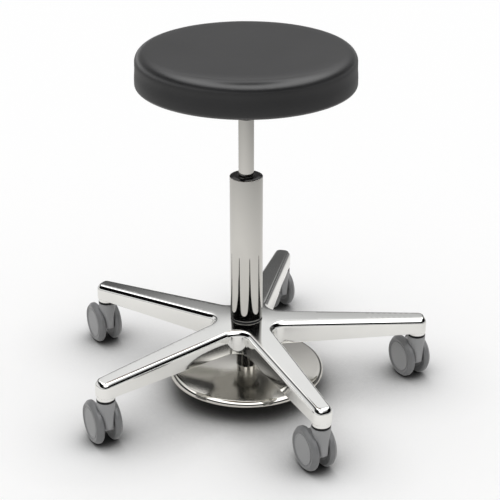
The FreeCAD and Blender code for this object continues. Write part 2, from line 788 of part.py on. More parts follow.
def make_foot_release():
    guide_blank = turned("guide_blank", [
        (guide_bore, s("guide_bottom")),
        (s("guide_radius"), s("guide_bottom")),
        (s("guide_radius"), guide_flange_bottom),
        (s("guide_flange_radius"), guide_flange_bottom),
        (s("guide_flange_radius"), spigot_bottom),
        (guide_bore, spigot_bottom),
    ])
    slot = f"({s('rocker_half_width')} + {s('rocker_side_gap')})"
    swing_low = f"({pivot_height} - {s('press_travel')} - {s('rocker_half_depth')})"
    pin_hole = f"({s('rocker_pin_radius')} + {s('press_gap')})"
    guide_slot = box("guide_slot", ("0", f"(-{slot})", swing_low),
                     (f"({s('guide_radius')} + {s('cut_margin')})", slot,
                      f"({guide_flange_bottom} - {s('seat_gap')})"))
    guide_hole = cross_cylinder("guide_pin_hole", pin_hole, s("guide_radius"),
                                s("rocker_pivot_x"), pivot_height)
    guide = cut("release_guide", guide_blank, fuse("guide_cuts", [guide_slot, guide_hole]))

    sleeve_blank = turned("sleeve_blank", [
        (sleeve_bore, s("sleeve_bottom")),
        (s("sleeve_radius"), s("sleeve_bottom")),
        (s("sleeve_radius"), sleeve_flange_bottom),
        (s("sleeve_flange_radius"), sleeve_flange_bottom),
        (s("sleeve_flange_radius"), sleeve_top),
        (sleeve_bore, sleeve_top),
    ])
    arm_low = (f"({pivot_height} - {s('rocker_half_depth')} - {s('rocker_crank')}"
               f" - {s('stop_gap')} / 2)")
    sleeve_slot = box("sleeve_slot", ("0", f"(-{slot})", arm_low),
                      (f"({s('sleeve_radius')} + {s('stop_gap')})", slot,
                       f"({sleeve_top} + {s('cut_margin')})"))
    sleeve = cut("disc_sleeve", sleeve_blank, sleeve_slot)

    sheet_inner = f"({s('sleeve_radius')} + {s('press_gap')})"
    skirt_inner = f"({s('disc_radius')} - {s('disc_thickness')})"
    disc = turned("foot_disc", [
        (sheet_inner, f"({disc_crown} - {s('disc_thickness')})"),
        (skirt_inner, f"({disc_edge} - {s('disc_thickness')})",
         f"({s('disc_roll')} - {s('disc_thickness')})"),
        (skirt_inner, s("disc_bottom")),
        (s("disc_radius"), s("disc_bottom")),
        (s("disc_radius"), disc_edge, s("disc_roll")),
        (sheet_inner, disc_crown),
    ])

    nut = ring("guide_nut", f"({s('guide_radius')} + {s('press_gap')})", s("nut_radius"),
               s("guide_bottom"), nut_top)
    pin = cross_cylinder("rocker_pin", s("rocker_pin_radius"), s("rocker_pin_half_length"),
                         s("rocker_pivot_x"), pivot_height)
    return [guide, sleeve, disc, nut, pin, make_rocker(), make_spring()]


def make_rocker():
    """The lever that turns the disc's downward push into an upward push on the valve pin."""
    body = doc.addObject("PartDesign::Body", "rocker_blank")
    sketch = sketch_on(body, "XZ_Plane", "rocker_outline", f"(-{s('rocker_half_width')})")
    pivot = s("rocker_pivot_x")
    depth = s("rocker_half_depth")
    nose_radius = s("rocker_nose_radius")
    inner = f"({pivot} - {s('rocker_inner_reach')})"
    shoulder = f"({pivot} + {depth})"
    nose = f"({pivot} + {s('rocker_outer_reach')})"
    knee = f"({nose} - 2 * {nose_radius})"
    nose_height = f"({pivot_height} + {s('rocker_nose_rise')})"
    crank = s("rocker_crank")
    draw_outline(sketch, [
        (inner, f"({pivot_height} + {depth})"),
        (inner, f"({pivot_height} - {depth})"),
        (shoulder, f"({pivot_height} - {depth})"),
        (f"({nose} - {nose_radius})", f"({pivot_height} - {depth} - {crank})"),
        (f"({nose} + {nose_radius})", pivot_height),
        (f"({nose} + {nose_radius})", nose_height),
        (f"({nose} - {nose_radius})", nose_height),
        (knee, f"({pivot_height} + {depth} - {crank})"),
        (shoulder, f"({pivot_height} + {depth})"),
    ])
    pad(body, "rocker_pad", sketch, f"(2 * {s('rocker_half_width')})")
    tip = cross_cylinder("rocker_nose", nose_radius, s("rocker_half_width"), nose, nose_height)
    hole = cross_cylinder("rocker_hole", f"({s('rocker_pin_radius')} + {s('running_gap')})",
                          s("rocker_half_width"), pivot, pivot_height)
    return cut("release_rocker", fuse("rocker_solid", [body, tip]), hole)


def make_spring():
    """The coil that lifts the foot disc back, from the guide's nut to the disc's sleeve."""
    low = f"({nut_top} + {s('seat_gap')} + {s('spring_wire')})"
    high = f"({s('sleeve_bottom')} - {s('seat_gap')} - {s('spring_wire')})"
    helix = doc.addObject("Part::Helix", "spring_line")
    helix.setExpression("Radius", s("spring_radius"))
    helix.setExpression("Height", f"{high} - {low}")
    helix.setExpression("Pitch", f"({high} - {low}) / {s('spring_turns')}")
    helix.setExpression(".Placement.Base.z", low)
    wire = doc.addObject("Part::Circle", "spring_section")
    wire.setExpression("Radius", s("spring_wire"))
    wire.Placement.Rotation = FreeCAD.Rotation(FreeCAD.Vector(1, 0, 0), 90)
    wire.setExpression(".Placement.Base.x", s("spring_radius"))
    wire.setExpression(".Placement.Base.z", low)
    coil = doc.addObject("Part::Sweep", "return_spring")
    coil.Sections = [wire]
    coil.Spine = (helix, [])
    coil.Solid = True
    coil.Frenet = True
    return coil


# ---------------------------------------------------------------- casters

def arm_azimuths():
    count = int(SIZES["arm_count"])
    return [360 / count * turn for turn in range(count)]


def make_stems():
    """The five caster stems in the arm tips and the black collars round them."""
    stems = []
    collars = []
    stem_bottom = f"({s('caster_height')} - {s('stem_in_caster')})"
    stem_length = f"({boss_bottom} + {s('stem_in_arm')} - {stem_bottom})"
    for number, azimuth in enumerate(arm_azimuths(), start=1):
        across, along = spot_on_circle(s("caster_circle"), azimuth)
        stems.append(cylinder(f"stem_{number}", s("stem_radius"), stem_length, stem_bottom,
                              across, along))
        blank = cylinder(f"collar_blank_{number}", s("caster_neck_radius"),
                         s("collar_thickness"), collar_bottom, across, along)
        hole = cylinder(f"collar_hole_{number}", f"({s('stem_radius')} + {s('press_gap')})",
                        s("collar_thickness"), collar_bottom, across, along)
        collars.append(cut(f"collar_{number}", blank, hole))
    return [group("caster_stems", stems), group("caster_collars", collars)]


def make_caster_body(name):
    """The swivelling frame: a round neck that narrows to a web between the wheels."""
    web = s("caster_web_half_width")
    axle_x = f"(-{s('caster_trail')})"
    neck_bottom = f"({s('caster_height')} - {s('caster_neck_length')})"
    taper_low = f"({neck_bottom} - {s('caster_taper_length')})"
    shield_bottom = f"({s('caster_height')} - {s('caster_shield_drop')})"
    neck = cylinder(f"{name}_neck", s("caster_neck_radius"), s("caster_neck_length"),
                    neck_bottom)
    taper = cone(f"{name}_taper", web, s("caster_neck_radius"), s("caster_taper_length"),
                 taper_low)
    fender = cross_cylinder(f"{name}_fender", s("caster_fender_radius"), web, axle_x,
                            s("wheel_radius"))
    front = s("caster_shield_front")
    shield_box = box(f"{name}_shield_box", (axle_x, f"(-{web})", shield_bottom),
                     (front, web, neck_bottom))
    doc.recompute()
    front_edge = edges_where(shield_box.Shape, lambda point: (
        abs(point.x - value(front)) < ON_EDGE and abs(point.z - value(shield_bottom)) < ON_EDGE))
    shield = doc.addObject("Part::Fillet", f"{name}_shield")
    shield.Base = shield_box
    toe = value(s("caster_shield_round"))
    shield.Edges = [(int(edge[4:]), toe, toe) for edge in front_edge]
    skirt = box(f"{name}_skirt", (f"({axle_x} - 2 * {s('caster_fender_radius')})",
                                  f"(-2 * {web})", "0"),
                (s("caster_fender_radius"), f"(2 * {web})",
                 f"({s('wheel_radius')} - {s('caster_fender_skirt')})"))
    arch_radius = f"({s('wheel_radius')} + {s('wheel_arch_gap')})"
    arch_start = f"({s('wheel_inner_face')} - {s('wheel_side_gap')})"
    arch_end = f"(2 * {s('caster_neck_radius')})"
    left_arch = cross_cylinder(f"{name}_arch_left", arch_radius, arch_end, axle_x,
                               s("wheel_radius"), arch_start)
    right_arch = cross_cylinder(f"{name}_arch_right", arch_radius, f"(-{arch_start})", axle_x,
                                s("wheel_radius"), f"(-{arch_end})")
    stem_hole = cylinder(f"{name}_stem_hole", f"({s('stem_radius')} + {s('running_gap')})",
                         f"({s('stem_in_caster')} + {s('seat_gap')})",
                         f"({s('caster_height')} - {s('stem_in_caster')} - {s('seat_gap')})")
    axle_hole = cross_cylinder(f"{name}_axle_hole", f"({s('axle_radius')} + {s('press_gap')})",
                               web, axle_x, s("wheel_radius"))
    solid = fuse(f"{name}_solid", [neck, taper, fender, shield])
    cuts = fuse(f"{name}_cuts", [skirt, left_arch, right_arch, stem_hole, axle_hole])
    return cut(name, solid, cuts)


def make_wheel(core_name, tread_name):
    """One wheel, turned about Z: its axle bore opens towards the caster's web."""
    inner = s("wheel_inner_face")
    outer = f"({inner} + {s('wheel_width')})"
    bore = f"({s('axle_radius')} + {s('running_gap')})"
    bore_end = f"({s('axle_half_length')} + {s('seat_gap')})"
    face = f"({outer} - {s('wheel_core_recess')})"
    core_radius = s("wheel_core_radius")
    core = turned(core_name, [
        (bore, inner),
        (core_radius, inner),
        (core_radius, outer),
        (f"({core_radius} - {s('wheel_core_recess')})", outer),
        (f"({core_radius} - 3 * {s('wheel_core_recess')})", face),
        ("0", face),
        ("0", bore_end),
        (bore, bore_end),
    ])
    tread_bore = f"({core_radius} + {s('press_gap')})"
    tread = turned(tread_name, [
        (tread_bore, inner),
        (s("wheel_radius"), inner, s("tread_inner_round")),
        (s("wheel_radius"), outer, s("tread_outer_round")),
        (tread_bore, outer),
    ])
    return core, tread


def make_casters():
    up = FreeCAD.Vector(0, 0, 1)
    across = FreeCAD.Vector(1, 0, 0)
    pieces = []
    for number, azimuth in enumerate(arm_azimuths(), start=1):
        name = f"caster_{number}"
        spot = [value(part) for part in spot_on_circle(s("caster_circle"), azimuth)]
        heading = FreeCAD.Rotation(up, value(s("caster_heading")))
        stand = FreeCAD.Placement(FreeCAD.Vector(*spot, 0), heading)
        axle_spot = FreeCAD.Vector(-value(s("caster_trail")), 0, value(s("wheel_radius")))
        body = make_caster_body(f"{name}_body")
        body.Placement = stand
        half = value(s("axle_half_length"))
        axle = doc.addObject("Part::Cylinder", f"{name}_axle")
        axle.setExpression("Radius", s("axle_radius"))
        axle.setExpression("Height", f"2 * {s('axle_half_length')}")
        lying = FreeCAD.Rotation(across, -90)
        start = axle_spot + FreeCAD.Vector(0, -half, 0)
        axle.Placement = stand.multiply(FreeCAD.Placement(start, lying))
        pieces += [body, axle]
        for side, turn in (("left", -90), ("right", 90)):
            core, tread = make_wheel(f"{name}_wheel_{side}", f"{name}_tread_{side}")
            outward = FreeCAD.Placement(axle_spot, FreeCAD.Rotation(across, turn))
            core.Placement = stand.multiply(outward)
            tread.Placement = stand.multiply(outward)
            pieces += [core, tread]
    return pieces


# ---------------------------------------------------------------- build, check and write

def check_document():
    for thing in doc.Objects:
        if {"Invalid", "Error"} & set(thing.State):
            raise RuntimeError(f"{thing.Name} failed: {thing.State}")


def check_piece(piece):
    if piece.Shape.isNull() or not piece.Shape.isValid() or not piece.Shape.Solids:
        raise RuntimeError(f"{piece.Label} has no valid solid")


pieces = (make_seat() + make_seat_plate() + make_gas_spring() + make_thrust_bearing()
          + make_column() + make_star_base() + make_foot_release() + make_stems()
          + make_casters())
doc.recompute()
check_document()
for piece in pieces:
    check_piece(piece)

os.makedirs("parts", exist_ok=True)
for piece in pieces:
    piece.Shape.exportStep(f"parts/{piece.Label}.step")
    extent = piece.Shape.BoundBox
    print(piece.Label, len(piece.Shape.Solids), "solids", round(piece.Shape.Volume), "mm3, z",
          round(extent.ZMin, 2), "to", round(extent.ZMax, 2))
print(len(pieces), "sub-parts")
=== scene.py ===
"""Adjustable swivel stool: every visible surface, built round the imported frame.

Lengths are in metres.  Z is up, the column stands on the origin and the first arm lies along X.
"""
import json
import math

import bmesh
import bpy
from mathutils import Matrix, Vector, geometry, kdtree


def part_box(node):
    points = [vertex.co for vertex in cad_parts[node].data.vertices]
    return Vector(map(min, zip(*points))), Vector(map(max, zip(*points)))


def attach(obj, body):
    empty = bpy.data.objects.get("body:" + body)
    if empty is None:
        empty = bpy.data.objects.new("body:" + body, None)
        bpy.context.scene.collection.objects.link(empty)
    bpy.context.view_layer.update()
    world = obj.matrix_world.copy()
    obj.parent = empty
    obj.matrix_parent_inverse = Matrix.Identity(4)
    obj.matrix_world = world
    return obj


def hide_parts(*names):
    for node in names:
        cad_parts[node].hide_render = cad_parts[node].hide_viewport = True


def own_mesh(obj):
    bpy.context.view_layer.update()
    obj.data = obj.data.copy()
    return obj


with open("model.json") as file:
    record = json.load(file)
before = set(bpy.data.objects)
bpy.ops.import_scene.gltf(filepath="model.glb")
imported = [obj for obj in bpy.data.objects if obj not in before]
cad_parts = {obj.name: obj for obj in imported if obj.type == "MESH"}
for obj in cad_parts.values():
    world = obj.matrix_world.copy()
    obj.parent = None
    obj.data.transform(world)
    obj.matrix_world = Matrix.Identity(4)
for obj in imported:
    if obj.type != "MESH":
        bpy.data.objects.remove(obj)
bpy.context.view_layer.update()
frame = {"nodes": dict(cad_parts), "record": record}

MM = 0.001
ARM_COUNT = 5
ARM_STEP = 2 * math.pi / ARM_COUNT
CASTER_CIRCLE = 304 * MM

# bores, each a little wider than what goes through it
COLUMN_BORE = 25.05 * MM
SLIDE_BORE = 13.05 * MM
POST_BORE = 9.05 * MM
STEM_BORE = 5.52 * MM
AXLE_BORE = 3.05 * MM

SHARP_ANGLE = math.radians(28)
CASTING_SHARP_ANGLE = math.radians(35)
ON_AXIS = 1e-7


def low(node):
    """The lowest corner of a frame node."""
    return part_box(node)[0]


def high(node):
    """The highest corner of a frame node."""
    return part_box(node)[1]


# ---------------------------------------------------------------- outlines and turned pieces

def rounded(corners, closed, steps):
    """A list of 2-D points from corners (a, b) or (a, b, radius); a radius makes an arc."""
    points = []
    count = len(corners)
    for index, corner in enumerate(corners):
        here = Vector(corner[:2])
        inside = closed or 0 < index < count - 1
        if len(corner) == 2 or not inside:
            points.append(here)
            continue
        back = (Vector(corners[index - 1][:2]) - here).normalized()
        ahead = (Vector(corners[(index + 1) % count][:2]) - here).normalized()
        half = math.acos(max(-1, min(1, back.dot(ahead)))) / 2
        reach = corner[2] / math.tan(half)
        centre = here + (back + ahead).normalized() * corner[2] / math.sin(half)
        start = here + back * reach - centre
        end = here + ahead * reach - centre
        turn = math.atan2(start.x * end.y - start.y * end.x, start.dot(end))
        for step in range(steps + 1):
            points.append(centre + Matrix.Rotation(turn * step / steps, 2) @ start)
    return points


def new_piece(name, bm, sharp=SHARP_ANGLE):
    """Turns a bmesh into a smooth-shaded object whose sharp edges stay sharp."""
    bmesh.ops.recalc_face_normals(bm, faces=bm.faces)
    mesh = bpy.data.meshes.new(name)
    bm.to_mesh(mesh)
    bm.free()
    mesh.shade_smooth()
    mesh.set_sharp_from_angle(angle=sharp)
    piece = bpy.data.objects.new(name, mesh)
    bpy.context.scene.collection.objects.link(piece)
    return piece


def loop_faces(bm, lower, upper):
    """Joins two rings of the same number of vertices with four-sided faces."""
    for part, vert in enumerate(lower):
        following = (part + 1) % len(lower)
        bm.faces.new((vert, lower[following], upper[following], upper[part]))


def spin_outline(bm, points, segments):
    """Adds the surface that a closed outline of (radius, height) points sweeps about Z."""
    rings = []
    for point in points:
        if point[0] < ON_AXIS:
            rings.append([bm.verts.new((0, 0, point[1]))])
            continue
        rings.append([
            bm.verts.new((point[0] * math.cos(2 * math.pi * part / segments),
                          point[0] * math.sin(2 * math.pi * part / segments), point[1]))
            for part in range(segments)])
    for lower, upper in zip(rings, rings[1:] + rings[:1]):
        if len(lower) == len(upper) == segments:
            loop_faces(bm, lower, upper)
        elif len(lower) != len(upper):
            for part in range(segments):
                following = (part + 1) % segments
                if len(lower) == 1:
                    bm.faces.new((lower[0], upper[following], upper[part]))
                else:
                    bm.faces.new((lower[part], lower[following], upper[0]))


def turn_at_stems(bm, outline, segments):
    """Spins an outline about the stem of each caster."""
    for number in range(ARM_COUNT):
        before = set(bm.verts)
        spin_outline(bm, outline, segments)
        fresh = [vert for vert in bm.verts if vert not in before]
        place = Matrix.Rotation(ARM_STEP * number, 4, "Z") @ Matrix.Translation(
            (CASTER_CIRCLE, 0, 0))
        bmesh.ops.transform(bm, matrix=place, verts=fresh)


def lathe(name, corners, segments, steps):
    """A turned piece, from the closed outline of half its section."""
    bm = bmesh.new()
    spin_outline(bm, rounded(corners, True, steps), segments)
    return new_piece(name, bm)


def settle(piece, body, slot, *nodes, material=None):
    """Gives a finished piece its material, by its slot unless one is given, puts it on its body
    and hides the frame nodes it shows.
    """
    piece.data.materials.clear()
    piece.data.materials.append(material or MATERIALS[slot])
    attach(piece, body)
    if nodes:
        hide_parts(*nodes)


# ---------------------------------------------------------------- materials

def shader(name, colour, roughness, metallic=0.0, **sockets):
    """A material with its Principled shader set, ready for surface detail."""
    material = bpy.data.materials.new(name)
    material.use_nodes = True
    principled = material.node_tree.nodes["Principled BSDF"]
    principled.inputs["Base Color"].default_value = (*colour, 1)
    principled.inputs["Roughness"].default_value = roughness
    principled.inputs["Metallic"].default_value = metallic
    for socket, number in sockets.items():
        principled.inputs[socket.replace("_", " ")].default_value = number
    return material, principled


def object_coordinates(tree, stretch=(1, 1, 1)):
    """Coordinates in metres on the object, stretched along its axes."""
    place = tree.nodes.new("ShaderNodeTexCoord")
    mapping = tree.nodes.new("ShaderNodeMapping")
    mapping.inputs["Scale"].default_value = stretch
    tree.links.new(place.outputs["Object"], mapping.inputs["Vector"])
    return mapping.outputs["Vector"]


def noise(tree, vector, scale, detail=4.0, roughness=0.55):
    """A noise texture's value, at a scale in cycles to the metre."""
    texture = tree.nodes.new("ShaderNodeTexNoise")
    texture.inputs["Scale"].default_value = scale
    texture.inputs["Detail"].default_value = detail
    texture.inputs["Roughness"].default_value = roughness
    tree.links.new(vector, texture.inputs["Vector"])
    return texture.outputs["Fac"]


def spread(tree, value, lowest, highest, start=0.3, end=0.7):
    """Maps a texture's value between two numbers."""
    ranged = tree.nodes.new("ShaderNodeMapRange")
    ranged.inputs["From Min"].default_value = start
    ranged.inputs["From Max"].default_value = end
    ranged.inputs["To Min"].default_value = lowest
    ranged.inputs["To Max"].default_value = highest
    tree.links.new(value, ranged.inputs["Value"])
    return ranged.outputs["Result"]


def tint(tree, value, first, second):
    """Mixes two colours, each written out or from a socket, by a value from 0 to 1."""
    mix = tree.nodes.new("ShaderNodeMix")
    mix.data_type = "RGBA"
    for name, colour in (("A", first), ("B", second)):
        if isinstance(colour, tuple):
            mix.inputs[name].default_value = (*colour, 1)
        else:
            tree.links.new(colour, mix.inputs[name])
    tree.links.new(value, mix.inputs["Factor"])
    return mix.outputs["Result"]


def relief(tree, height, strength, distance):
    """A surface normal that makes a value stand out as height."""
    bump = tree.nodes.new("ShaderNodeBump")
    bump.inputs["Strength"].default_value = strength
    bump.inputs["Distance"].default_value = distance
    tree.links.new(height, bump.inputs["Height"])
    return bump.outputs["Normal"]


def math_node(tree, operation, first, second=None):
    """A Math node fed by sockets or plain numbers."""
    node = tree.nodes.new("ShaderNodeMath")
    node.operation = operation
    for index, source in enumerate((first, second)):
        if source is None:
            continue
        if isinstance(source, (int, float)):
            node.inputs[index].default_value = source
        else:
            tree.links.new(source, node.inputs[index])
    return node.outputs[0]


def vary(name, dark, light, roughness, metallic=0.0, grain=900, blotch=14,
         strength=0.1, depth=0.0001, swing=0.04, stretch=(1, 1, 1), **sockets):
    """A finished surface: its colour drifts slowly, its gloss varies and a fine grain stands
    in relief."""
    material, principled = shader(name, light, roughness, metallic, **sockets)
    tree = material.node_tree
    where = object_coordinates(tree)
    drift = noise(tree, where, blotch)
    tree.links.new(tint(tree, spread(tree, drift, 0, 1), dark, light),
                   principled.inputs["Base Color"])
    fine = noise(tree, object_coordinates(tree, stretch), grain, 2.0)
    tree.links.new(spread(tree, drift, roughness - swing, roughness + swing),
                   principled.inputs["Roughness"])
    tree.links.new(relief(tree, fine, strength, depth), principled.inputs["Normal"])
    return material


def make_vinyl():
    """Satin black vinyl with a pebbled grain a little under a millimetre across."""
    material, principled = shader("vinyl", (0.045, 0.045, 0.047), 0.42)
    principled.inputs["Specular IOR Level"].default_value = 0.8
    principled.inputs["Sheen Weight"].default_value = 0.08
    principled.inputs["Sheen Roughness"].default_value = 0.5
    tree = material.node_tree
    where = object_coordinates(tree)
    pebbles = tree.nodes.new("ShaderNodeTexVoronoi")
    pebbles.feature = "SMOOTH_F1"
    pebbles.inputs["Scale"].default_value = 1100
    pebbles.inputs["Smoothness"].default_value = 0.6
    tree.links.new(where, pebbles.inputs["Vector"])
    drift = noise(tree, where, 9)
    tree.links.new(tint(tree, spread(tree, drift, 0, 1), (0.006, 0.006, 0.007),
                        (0.010, 0.010, 0.011)), principled.inputs["Base Color"])
    tree.links.new(spread(tree, drift, 0.31, 0.36), principled.inputs["Roughness"])
    tree.links.new(relief(tree, pebbles.outputs["Distance"], 0.10, 0.00012),
                   principled.inputs["Normal"])
    return material


MATERIALS = {
    "vinyl": make_vinyl(),
    "foam": vary("foam", (0.70, 0.66, 0.50), (0.80, 0.77, 0.62), 0.9, grain=700, strength=0.6,
                 depth=0.0006),
    "plywood": vary("plywood", (0.42, 0.28, 0.15), (0.62, 0.45, 0.27), 0.6, grain=60,
                    blotch=25, strength=0.2, depth=0.0003, stretch=(1, 14, 4)),
    "black_steel": vary("black_steel", (0.016, 0.016, 0.017), (0.024, 0.024, 0.026), 0.42,
                        grain=1500, strength=0.25, depth=0.0001),
    "chrome": vary("chrome", (0.56, 0.55, 0.525), (0.60, 0.59, 0.565), 0.05, 1.0, grain=40,
                   blotch=6, strength=0.01, depth=0.0004, swing=0.015),
    "polished_steel": vary("polished_steel", (0.60, 0.59, 0.57), (0.66, 0.65, 0.63), 0.16, 1.0,
                           grain=700, strength=0.05, stretch=(1, 1, 12)),
    "zinc_steel": vary("zinc_steel", (0.52, 0.51, 0.47), (0.60, 0.60, 0.58), 0.32, 1.0,
                       grain=500, strength=0.12),
    "polished_aluminium": vary("polished_aluminium", (0.78, 0.78, 0.765), (0.83, 0.83, 0.815),
                               0.07, 1.0, grain=30, blotch=8, strength=0.015, depth=0.0005,
                               swing=0.02),
    "black_plastic": vary("black_plastic", (0.007, 0.007, 0.008), (0.011, 0.011, 0.012), 0.5,
                          grain=1200, strength=0.2, Specular_IOR_Level=0.2),
    "gloss_black_plastic": vary("gloss_black_plastic", (0.008, 0.008, 0.009),
                                (0.012, 0.012, 0.013), 0.12, grain=300, strength=0.03,
                                Specular_IOR_Level=0.3),
    "grey_plastic": vary("grey_plastic", (0.33, 0.332, 0.335), (0.36, 0.362, 0.366), 0.48,
                         grain=1600, strength=0.16),
    "grey_tread": vary("grey_tread", (0.185, 0.187, 0.190), (0.21, 0.212, 0.216), 0.33,
                       grain=1300, strength=0.22),
}


# radii between which the foot plate's turned finish fades into the polish of its post and edge
POLISHED_POST = (18 * MM, 19 * MM)
POLISHED_EDGE = (125.5 * MM, 128 * MM)


def make_disc_steel():
    """Mirror steel with a faint turned finish that runs round the column's axis."""
    material, principled = shader("disc_steel", (0.62, 0.61, 0.585), 0.2, 1.0)
    tree = material.node_tree
    place = tree.nodes.new("ShaderNodeTexCoord")
    split = tree.nodes.new("ShaderNodeSeparateXYZ")
    radius = tree.nodes.new("ShaderNodeVectorMath")
    radius.operation = "LENGTH"
    flat = tree.nodes.new("ShaderNodeCombineXYZ")
    tree.links.new(place.outputs["Object"], split.inputs[0])
    tree.links.new(split.outputs["X"], flat.inputs["X"])
    tree.links.new(split.outputs["Y"], flat.inputs["Y"])
    tree.links.new(flat.outputs[0], radius.inputs[0])
    lines = tree.nodes.new("ShaderNodeCombineXYZ")
    tree.links.new(radius.outputs["Value"], lines.inputs["X"])
    fine = noise(tree, lines.outputs[0], 1400, 2.0)
    drift = noise(tree, place.outputs["Object"], 7)
    tree.links.new(tint(tree, spread(tree, drift, 0, 1), (0.55, 0.535, 0.50),
                        (0.62, 0.605, 0.57)), principled.inputs["Base Color"])
    polish = math_node(tree, "MAXIMUM",
                       spread(tree, radius.outputs["Value"], 1, 0, *POLISHED_POST),
                       spread(tree, radius.outputs["Value"], 0, 1, *POLISHED_EDGE))
    brushed = spread(tree, fine, 0.13, 0.18)
    shine = math_node(tree, "MULTIPLY", polish, -0.1)
    tree.links.new(math_node(tree, "ADD", brushed, shine), principled.inputs["Roughness"])
    tree.links.new(relief(tree, fine, 0.03, 0.00003), principled.inputs["Normal"])
    return material


DISC_STEEL = make_disc_steel()


# ---------------------------------------------------------------- seat

CUSHION_TOP_ROUND = 18.5 * MM
CUSHION_BOTTOM_ROUND = 5.6 * MM
CUSHION_SEGMENTS = 192
CUSHION_STEP = 4 * MM
COVER_THICKNESS = 1.5 * MM
COVER_LIP = 30 * MM
COVER_FULLNESS = 1.2 * MM
SOFT_GAP = 0.3 * MM

PAD_SEGMENTS = 96
PAD_VOXEL = 5 * MM
PAD_FRAMES = 20
PAD_PRESSURE = 4
PAD_STIFFNESS = 40
PAD_BENDING = 4
PAD_CAP = 1.1 * MM
PAD_NEIGHBOURS = 24
UNEVENNESS = 0.12


def blow_up(radius, bottom, top):
    """Simulates the closed pad as inflated cloth; returns each point at rest and its move."""
    pad = lathe("pad_simulation", [
        (0, top),
        (radius, top, CUSHION_TOP_ROUND),
        (radius, bottom, CUSHION_BOTTOM_ROUND),
        (0, bottom),
    ], PAD_SEGMENTS, 6)
    remesh = pad.modifiers.new("remesh", "REMESH")
    remesh.mode = "VOXEL"
    remesh.voxel_size = PAD_VOXEL
    bpy.context.view_layer.update()
    graph = bpy.context.evaluated_depsgraph_get()
    even = bpy.data.meshes.new_from_object(pad.evaluated_get(graph))
    pad.modifiers.clear()
    pad.data = even
    rest = [vertex.co.copy() for vertex in even.vertices]
    held = pad.vertex_groups.new(name="held")
    held.add([vertex.index for vertex in even.vertices
              if vertex.co.z < bottom + PAD_VOXEL], 1.0, "REPLACE")
    cloth = pad.modifiers.new("cloth", "CLOTH")
    cloth.settings.use_pressure = True
    cloth.settings.uniform_pressure_force = PAD_PRESSURE
    cloth.settings.effector_weights.gravity = 0
    cloth.settings.vertex_group_mass = "held"
    cloth.settings.tension_stiffness = PAD_STIFFNESS
    cloth.settings.compression_stiffness = PAD_STIFFNESS
    cloth.settings.bending_stiffness = PAD_BENDING
    cloth.point_cache.frame_end = PAD_FRAMES
    for number in range(1, PAD_FRAMES + 1):
        bpy.context.scene.frame_set(number)
    graph = bpy.context.evaluated_depsgraph_get()
    blown = [vertex.co.copy() for vertex in pad.evaluated_get(graph).data.vertices]
    bpy.data.objects.remove(pad)
    bpy.context.scene.frame_set(1)
    return rest, [after - before for before, after in zip(rest, blown)]


def cap(move, most):
    """A move, shortened to the most it may be."""
    return move if move.length <= most else move.normalized() * most


def swell(vertices, rest, moves):
    """Moves vertices as the simulated pad's points near them moved."""
    tree = kdtree.KDTree(len(rest))
    for index, spot in enumerate(rest):
        tree.insert(spot, index)
    tree.balance()
    for vertex in vertices:
        near = tree.find_n(vertex.co, PAD_NEIGHBOURS)
        weights = [1 / (distance + PAD_VOXEL) for _, _, distance in near]
        move = sum((moves[index] * weight for (_, index, _), weight in zip(near, weights)),
                   Vector()) / sum(weights)
        vertex.co += cap(move, PAD_CAP)


def even_out(mesh):
    """Keeps the swell's turned profile and only a little of how it differs round the seat."""
    levels = {}
    # one vertex stands alone on the axis, and the levels after it are full rings
    for vertex in mesh.vertices:
        level = (vertex.index + CUSHION_SEGMENTS - 1) // CUSHION_SEGMENTS
        levels.setdefault(level, []).append(vertex)
    for ring in levels.values():
        reach = sum(vertex.co.xy.length for vertex in ring) / len(ring)
        height = sum(vertex.co.z for vertex in ring) / len(ring)
        for vertex in ring:
            out = vertex.co.xy.length
            if out < MM:
                continue
            scale = (reach + (out - reach) * UNEVENNESS) / out
            vertex.co.x *= scale
            vertex.co.y *= scale
            vertex.co.z = height + (vertex.co.z - height) * UNEVENNESS


def make_cushion():
    """The padded seat: foam and cover in one skin that wraps the board's edge from below."""
    bottom = low("seat_cover").z
    top = high("seat_cover").z + COVER_FULLNESS
    radius = high("seat_cover").x + COVER_FULLNESS
    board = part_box("seat_board")
    board_radius = board[1].x + SOFT_GAP
    lip = radius - COVER_LIP
    ceiling = board[0].z - SOFT_GAP
    outline = rounded([
        (0, top),
        (radius, top, CUSHION_TOP_ROUND),
        (radius, bottom, CUSHION_BOTTOM_ROUND),
        (lip, bottom, COVER_THICKNESS / 3),
        (lip, ceiling, COVER_THICKNESS / 3),
        (board_radius, ceiling),
        (board_radius, board[1].z + SOFT_GAP),
        (0, board[1].z + SOFT_GAP),
    ], True, 12)
    fine = []
    for here, there in zip(outline, outline[1:]):
        parts = max(1, round((there - here).length / CUSHION_STEP))
        fine += [here.lerp(there, part / parts) for part in range(parts)]
    fine.append(outline[-1])
    bm = bmesh.new()
    spin_outline(bm, fine, CUSHION_SEGMENTS)
    cushion = new_piece("cushion", bm)

    def free(spot):
        """Whether a point is clear of the board and of the cover drawn under it."""
        over_board = spot.xy.length < board_radius - MM and spot.z < board[1].z + MM
        return spot.z >= board[0].z + SOFT_GAP and not over_board

    swell([vertex for vertex in cushion.data.vertices if free(vertex.co)],
          *blow_up(radius, bottom, top))
    even_out(cushion.data)
    settle(cushion, "seat", "vinyl", "seat_cover", "seat_foam")


